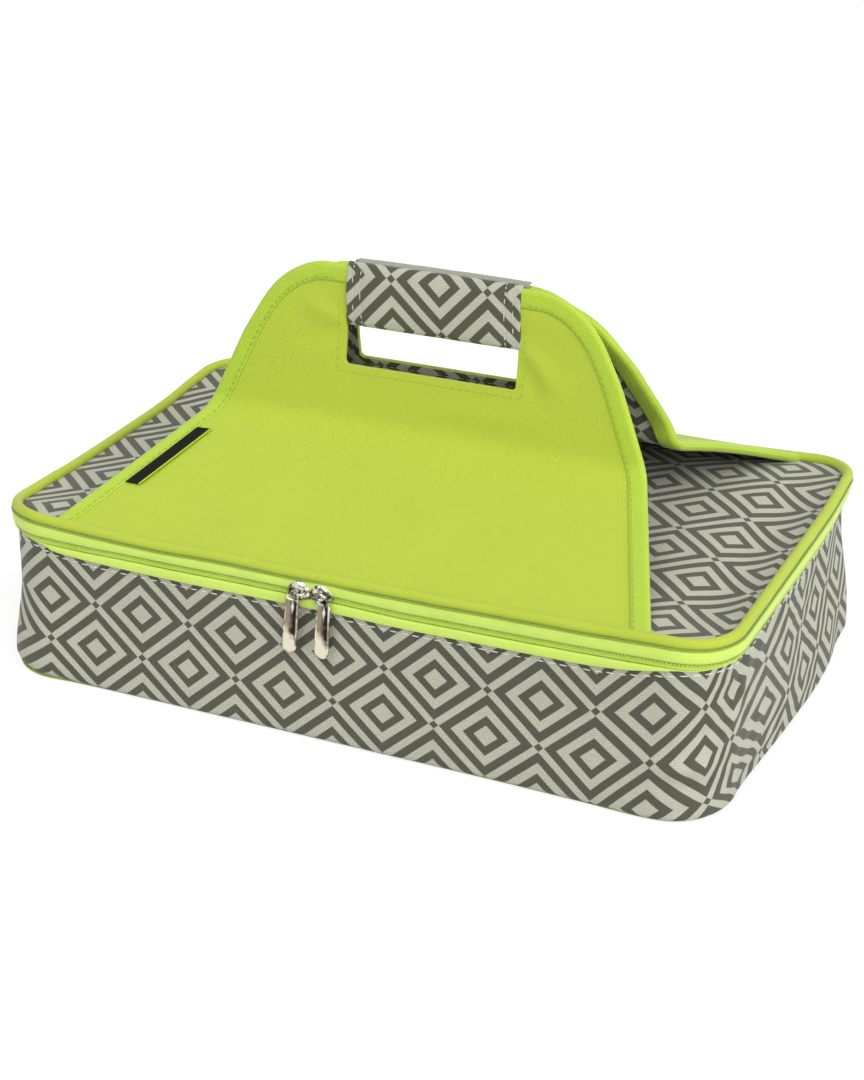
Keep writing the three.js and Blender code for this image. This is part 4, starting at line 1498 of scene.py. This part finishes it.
def grip_section(share):
    """Rise and depth from the grip's middle, at a share round it from its outer face upwards."""
    half_rise = (GRIP_TOP - GRIP_BOTTOM) / 2
    angle = 2 * math.pi * share
    c, s = math.cos(angle), math.sin(angle)
    return half_rise * math.copysign(abs(s) ** 0.7, s), -GRIP_DEPTH * math.copysign(abs(c) ** 0.6, c)


def grip_lengths():
    """Length round the section from its outer middle to the edge of each row."""
    lengths = [0.0]
    for row in range(GRIP_ROWS):
        here, ahead = Vector(grip_section(row / GRIP_ROWS)), Vector(grip_section((row + 1) / GRIP_ROWS))
        lengths.append(lengths[-1] + (ahead - here).length)
    return lengths


def on_grip(turn, x, up, size=1.0, proud=0.0):
    """A point of the sleeve; it is sewn flat towards its square ends."""
    rise, depth = grip_section(up)
    from_end = GRIP_HALF - abs(x)
    puff = GRIP_END_PUFF + (1 - GRIP_END_PUFF) * smooth(from_end / GRIP_FLAT_END)
    seam = 1 - GRIP_SEAM_PINCH * sum(swell(from_end, place, GRIP_SEAM_REACH) for place in GRIP_SEAMS)
    soft = GRIP_RIPPLE * ripple((x, rise, depth), GRIP_RIPPLE_LENGTH, 12.0 + turn)
    deep = (abs(depth) * puff * seam + soft * puff + proud) * size
    x += GRIP_SHIFT if turn > 0 else 0
    return cloth_place(turn, x, grip_middle + rise * size, TAPE_DEPTH / 2 + math.copysign(deep, depth))


def grip_stretch(across):
    """x along the grip, and the section's share of its full size, which closes at the ends."""
    if across < GRIP_CAP_SHARE:
        return -GRIP_HALF, across / GRIP_CAP_SHARE
    if across > 1 - GRIP_CAP_SHARE:
        return GRIP_HALF, (1 - across) / GRIP_CAP_SHARE
    return (2 * (across - GRIP_CAP_SHARE) / (1 - 2 * GRIP_CAP_SHARE) - 1) * GRIP_HALF, 1.0


def grip_sleeve(side, turn):
    lengths = grip_lengths()

    def place(across, up):
        x, size = grip_stretch(across)
        return on_grip(turn, x, up, size)

    def pattern(across, up):
        x, _ = grip_stretch(across)
        round_it = lengths[round(up * GRIP_ROWS)]
        round_it -= lengths[-1] if up > 0.5 else 0.0
        up_by = grip_middle + round_it - GRIP_PRINT.y
        x += GRIP_SHIFT + slot_shift(x, grip_middle + round_it)
        return (x - GRIP_PRINT.x + GRIP_PRINT_SLANT * up_by) * GRIP_PRINT_STRETCH, up_by

    bm = cloth_net(120, GRIP_ROWS, place, pattern, merge=True)
    bmesh.ops.recalc_face_normals(bm, faces=bm.faces)
    piece = add_piece(f"{side}_grip", bm, [printed])
    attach(piece, f"{side}_handle")
    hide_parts(f"{side}_grip_sleeve", f"{side}_grip_pad")


def grip_stitches(side, turn):
    """Two rows round each end of the grip, on its outer and inner faces."""
    places = []
    for x in [hand * (GRIP_HALF - inset) for hand in (1, -1) for inset in GRIP_SEAMS]:
        for first in GRIP_STITCH_STARTS:
            for i in range(GRIP_STITCHES):
                up = (first + i * GRIP_STITCH_STEP) % 1.0
                start = on_grip(turn, x, up, proud=GRIP_STITCH_PROUD)
                end = on_grip(turn, x, (up + GRIP_STITCH_SHARE) % 1.0, proud=GRIP_STITCH_PROUD)
                outer = on_grip(turn, x, up, proud=GRIP_STITCH_PROUD + STITCH_OUT)
                places.append((start, end, outer - start))
    piece = stitch_row(f"{side}_grip_stitches", places, grip_thread)
    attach(piece, f"{side}_handle")


def grip_top_strip():
    """The plain strip of cloth sewn along the top of the rear grip, on its inner side."""

    def place(across, up):
        x = (2 * across - 1) * (GRIP_HALF - STRIP_END_GAP) - STRIP_SHIFT
        return on_grip(-1, x, STRIP_START + STRIP_SHARE * up, proud=STRIP_PROUD)

    bm = cloth_net(80, 10, place, lambda a, u: (a, u))
    bmesh.ops.recalc_face_normals(bm, faces=bm.faces)
    piece = add_piece("rear_grip_top_strip", bm, [plain_grey])
    thicken(piece, STRIP_WALL, offset=0.0)
    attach(piece, "rear_handle")


# Sliders and pulls

SLIDER_WIDE = 0.0066
SLIDER_TALL = 0.0056
SLIDER_LOW = 0.0007
SLIDER_BACK = 0.0022
SLIDER_RIM = 0.0030
SLIDER_DOME = 0.0016
SLIDER_DOME_SHARE = 0.86
SLIDER_FRONT_ROWS = 0.85
SLIDER_SQUARENESS = 0.85
SLIDER_NARROWER = 0.35
BRIDGE_HALF = 0.0048
BRIDGE_PROUD = 0.0056
BRIDGE_LOW = 0.0004
BRIDGE_RADIUS = 0.0007
BRIDGE_STEPS = 16
PULL_OUT = 0.0050
PULL_TOPS = {"left": zip_height - 0.0050, "right": zip_height - 0.0048}
PULL_LEANS = {"left": math.radians(6.4), "right": math.radians(4.8)}
PULL_TOP_SHARE = 0.96
PULL_FOOT_WIDER = 0.14
# The pull's section from its back edge to its middle: how far in from the edge, and how proud
PULL_SECTION = (
    (0.0, 0.0), (0.0, 0.0006), (0.0003, 0.0011), (0.0008, 0.0011), (0.0012, 0.0006), (0.0024, 0.0008),
    (0.0036, 0.0009),
)
# The pull hangs on a loop that bows away from the other slider, and a bar crosses the loop's foot
LOOP_HALF = 0.0031
LOOP_BOW = 0.0020
LOOP_FOOT = -0.0006
LOOP_RISE = 0.0017
LOOP_PROUD = 0.0005
LOOP_RADIUS = 0.00055
LOOP_STEPS = 24
BAR_PLACES = (-0.0037, -0.0018, 0, 0.0018, 0.0037)
BAR_LEVEL = 0.0001
BAR_PROUD = 0.0006
BAR_RADIUS = 0.0007


def wire(name, points, normal, radius, material):
    """A round wire through points that lie in a plane with this normal."""
    count = len(points) - 1

    def place(across, up):
        i = round(across * count)
        ahead = points[min(i + 1, count)] - points[max(i - 1, 0)]
        side = ahead.cross(normal).normalized()
        angle = 2 * math.pi * up
        return points[i] + (side * math.cos(angle) + normal * math.sin(angle)) * radius

    bm = cloth_net(count, 8, place, lambda a, u: (a, u), merge=True)
    close_ends(bm)
    return add_piece(name, bm, [material])


def slider(side, hand):
    """A domed body with a rim, narrow towards its hand, and a bridge over it."""
    low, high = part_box(f"{side}_slider")
    middle = (low.x + high.x) / 2

    def place(across, up):
        turn = 2 * math.pi * across
        c, s = math.cos(turn), math.sin(turn)
        in_front = up < SLIDER_FRONT_ROWS
        share = up / SLIDER_FRONT_ROWS if in_front else (1 - up) / (1 - SLIDER_FRONT_ROWS)
        x = SLIDER_WIDE * math.copysign(abs(c) ** SLIDER_SQUARENESS, c) * share
        z = SLIDER_TALL * s * (1 - SLIDER_NARROWER * smooth(hand * c)) * share
        out = SLIDER_BACK
        if in_front:
            out = SLIDER_RIM + SLIDER_DOME * math.sqrt(max(1 - (share / SLIDER_DOME_SHARE) ** 2, 0.0))
        return Vector((middle + x, -shell_high.y - out, zip_height - SLIDER_LOW + z))

    bm = cloth_net(32, 20, place, lambda a, u: (a, u), merge=True)
    bmesh.ops.recalc_face_normals(bm, faces=bm.faces)
    piece = add_piece(f"{side}_slider_body", bm, [nickel])
    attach(piece, f"{side}_slider")
    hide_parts(f"{side}_slider")
    points = []
    for i in range(BRIDGE_STEPS + 1):
        angle = math.pi * i / BRIDGE_STEPS
        x = middle + BRIDGE_HALF * math.cos(angle)
        out = SLIDER_RIM + BRIDGE_PROUD * math.sin(angle) ** 0.7
        points.append(Vector((x, -shell_high.y - out, zip_height - BRIDGE_LOW)))
    bridge = wire(f"{side}_slider_bridge", points, Vector((0, 0, 1)), BRIDGE_RADIUS, nickel)
    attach(bridge, f"{side}_slider")


def pull_edge(share, inset):
    """A point at a share round the pull's outline, set in from it, from the middle of its square top."""
    walk = share * 4
    half = PULL_HALF - inset
    if walk < 0.5:
        return half * walk * 2, -inset
    if walk < 1.5:
        return half, -inset + (PULL_CENTRE + inset) * (walk - 0.5)
    if walk < 2.5:
        angle = (walk - 1.5) * math.pi
        return half * math.cos(angle), PULL_CENTRE - half * math.sin(angle)
    if walk < 3.5:
        return -half, PULL_CENTRE - (inset + PULL_CENTRE) * (walk - 2.5)
    return -half * (4 - walk) * 2, -inset


def pull(side):
    """A plate with a raised rim, square above and round below, hung on a wire loop."""
    low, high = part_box(f"{side}_pull")
    middle = (low.x + high.x) / 2
    lean = PULL_LEANS[side]
    top = PULL_TOPS[side]
    outer = -1 if side == "left" else 1
    rows = len(PULL_SECTION) - 1
    level = Vector((0, 1, 0))

    def set_down(x, z, out):
        """Hangs a point of the pull in its place, leaning to one side."""
        x *= PULL_TOP_SHARE - PULL_FOOT_WIDER * min(z, 0) / PULL_LENGTH
        turned = x * math.cos(lean) + z * math.sin(lean)
        down = z * math.cos(lean) - x * math.sin(lean)
        return Vector((middle + turned, -shell_high.y - PULL_OUT - out, top + down))

    def place(across, up):
        inset, out = PULL_SECTION[round(up * rows)]
        return set_down(*pull_edge(across, inset), out)

    def pattern(across, up):
        return pull_edge(across, PULL_SECTION[round(up * rows)][0])

    bm = cloth_net(64, rows, place, pattern, merge=True)
    close_ends(bm)
    piece = add_piece(f"{side}_pull_plate", bm, [pull_nickel])
    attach(piece, f"{side}_pull")
    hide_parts(f"{side}_pull")
    points = []
    for i in range(LOOP_STEPS + 1):
        angle = math.pi * i / LOOP_STEPS
        s = math.sin(angle)
        x = outer * (LOOP_HALF * math.cos(angle) - LOOP_BOW * s * s)
        points.append(set_down(x, LOOP_FOOT + (zip_height + LOOP_RISE - top) * s, LOOP_PROUD))
    bar_points = [set_down(x, BAR_LEVEL, BAR_PROUD) for x in BAR_PLACES]
    loop = wire(f"{side}_pull_loop", points, level, LOOP_RADIUS, nickel)
    bar = wire(f"{side}_pull_bar", bar_points, level, BAR_RADIUS, nickel)
    for metal in (loop, bar):
        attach(metal, f"{side}_pull")


# Label tab


def label_tab():
    """The blank tab sewn in beside the front flap's left binding."""
    slant = math.hypot(1, FLAP_LEAN)

    def place(across, up):
        rise = -LABEL_FROM_CREASE - LABEL_LENGTH * across
        inner = CREASE_HALF - rise * FLAP_LEAN - (TAPE_WIDTH + LABEL_FROM_TAPE) * slant
        x = inner - LABEL_WIDTH * slant * up
        return cloth_place(1, -x, rise, CANVAS_DEPTH - LABEL_PROUD - LABEL_CURL * up * up)

    bm = cloth_net(40, 8, place, lambda a, u: (a * LABEL_LENGTH, u * LABEL_WIDTH))
    bmesh.ops.reverse_faces(bm, faces=bm.faces)
    piece = add_piece("label_tab_blank", bm, [label_weave])
    thicken(piece, LABEL_WALL)
    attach(piece, "front_flap")
    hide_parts("label_tab")


# Stage

FLOOR_HALF = 6.0
FLOOR_DROP = 0.0002
FLOOR_GLOW = 0.72
FLOOR_SEEN = 0.33
FLOOR_UNSEEN = 0.75
WORLD_LIGHT = 0.52


def grey(level):
    return (level, level, level, 1)


def stage_shader(graph, seen, unseen):
    """Mixes what camera, gloss and glass rays meet with what lights the object."""
    camera_ray = graph.node("ShaderNodeLightPath", output="Is Camera Ray")
    shown = camera_ray.larger(camera_ray.beside("Is Glossy Ray"))
    shown = shown.larger(camera_ray.beside("Is Transmission Ray"))
    return graph.node("ShaderNodeMixShader", inputs={0: shown, 1: unseen, 2: seen})


def white_floor():
    bm = bmesh.new()
    bmesh.ops.create_grid(bm, x_segments=1, y_segments=1, size=FLOOR_HALF)
    bmesh.ops.translate(bm, verts=bm.verts, vec=(0, 0, -FLOOR_DROP))
    material = bpy.data.materials.new("white_floor")
    material.use_nodes = True
    material.node_tree.nodes.clear()
    graph = Graph(material.node_tree)
    glow = graph.node("ShaderNodeEmission", inputs={"Color": grey(1), "Strength": FLOOR_GLOW})
    pale = graph.node("ShaderNodeBsdfDiffuse", inputs={"Color": grey(FLOOR_SEEN)})
    seen = graph.node("ShaderNodeAddShader", inputs={0: glow, 1: pale})
    unseen = graph.node("ShaderNodeBsdfDiffuse", inputs={"Color": grey(FLOOR_UNSEEN)})
    graph.node("ShaderNodeOutputMaterial", inputs={0: stage_shader(graph, seen, unseen)})
    add_piece("floor", bm, [material], smooth_faces=False)


def plain_world():
    world = bpy.data.worlds.new("white_room")
    bpy.context.scene.world = world
    world.use_nodes = True
    world.node_tree.nodes.clear()
    graph = Graph(world.node_tree)
    seen = graph.node("ShaderNodeBackground", inputs={"Color": grey(1), "Strength": 1.0})
    unseen = graph.node("ShaderNodeBackground", inputs={"Color": grey(1), "Strength": WORLD_LIGHT})
    graph.node("ShaderNodeOutputWorld", inputs={0: stage_shader(graph, seen, unseen)})


def sun(name, towards, strength, angle):
    light = bpy.data.lights.new(name, "SUN")
    light.energy = strength
    light.angle = math.radians(angle)
    lamp = bpy.data.objects.new(name, light)
    lamp.rotation_euler = Vector(towards).to_track_quat("Z", "Y").to_euler()
    bpy.context.scene.collection.objects.link(lamp)


def photo_camera():
    data = bpy.data.cameras.new("photo_camera")
    data.sensor_fit = "VERTICAL"
    data.sensor_height = SENSOR
    data.sensor_width = SENSOR
    data.lens = SENSOR * FOCAL_PIXELS / IMAGE_HEIGHT
    camera = bpy.data.objects.new("photo_camera", data)
    back_x = math.sin(VIEW_AZIMUTH) * math.cos(VIEW_ELEVATION)
    back_y = -math.cos(VIEW_AZIMUTH) * math.cos(VIEW_ELEVATION)
    back = Vector((back_x, back_y, math.sin(VIEW_ELEVATION)))
    right = (-back).cross(Vector((0, 0, 1))).normalized()
    up = right.cross(-back)
    across = right * math.cos(VIEW_ROLL) + up * math.sin(VIEW_ROLL)
    upward = -right * math.sin(VIEW_ROLL) + up * math.cos(VIEW_ROLL)
    turn = Matrix((across, upward, back)).transposed().to_4x4()
    camera.matrix_world = Matrix.Translation(VIEW_TARGET + back * VIEW_DISTANCE) @ turn
    bpy.context.scene.collection.objects.link(camera)
    bpy.context.scene.camera = camera


def dress_frame_nodes():
    """Finishes for the pieces whose construction shape is already right."""
    for name, material in (("base_foam", foam), ("base_board", board)):
        node = frame["nodes"][name]
        node.data.materials.clear()
        node.data.materials.append(material)


photo_camera()
plain_world()
white_floor()
sun("key_light", towards=(-0.11, -0.53, 0.84), strength=1.05, angle=35)
sun("side_light", towards=(0.80, -0.28, 0.53), strength=2.1, angle=60)

tub_cloth()
base_cloth()
base_piping()
lower_band()
zip_tape()
upper_band()
lid_piping()
seam_shadow_cord()
coil_row("lower_coil", "lower_zip_coil", "tub", COIL_HEIGHT)
coil_row("upper_coil", "upper_zip_coil", "lid", COIL_HEIGHT + COIL_ROWS_APART)
hinge_cloth()
tub_lining()
lid_lining()
lid_cloth()
for pair, turned in (("front", 1), ("rear", -1)):
    side_cloth(pair, turned)
    for way, which in ((1, "right"), (-1, "left")):
        side_binding(pair, turned, way, which)
        binding_stitches(pair, turned, way, which)
    grip_sleeve(pair, turned)
    grip_stitches(pair, turned)
    slot_stitches(pair, turned)
grip_top_strip()
wall_stitches()
label_tab()
for which, narrow_way in (("left", -1), ("right", 1)):
    slider(which, narrow_way)
    pull(which)
dress_frame_nodes()

bpy.context.scene.view_settings.view_transform = "Standard"
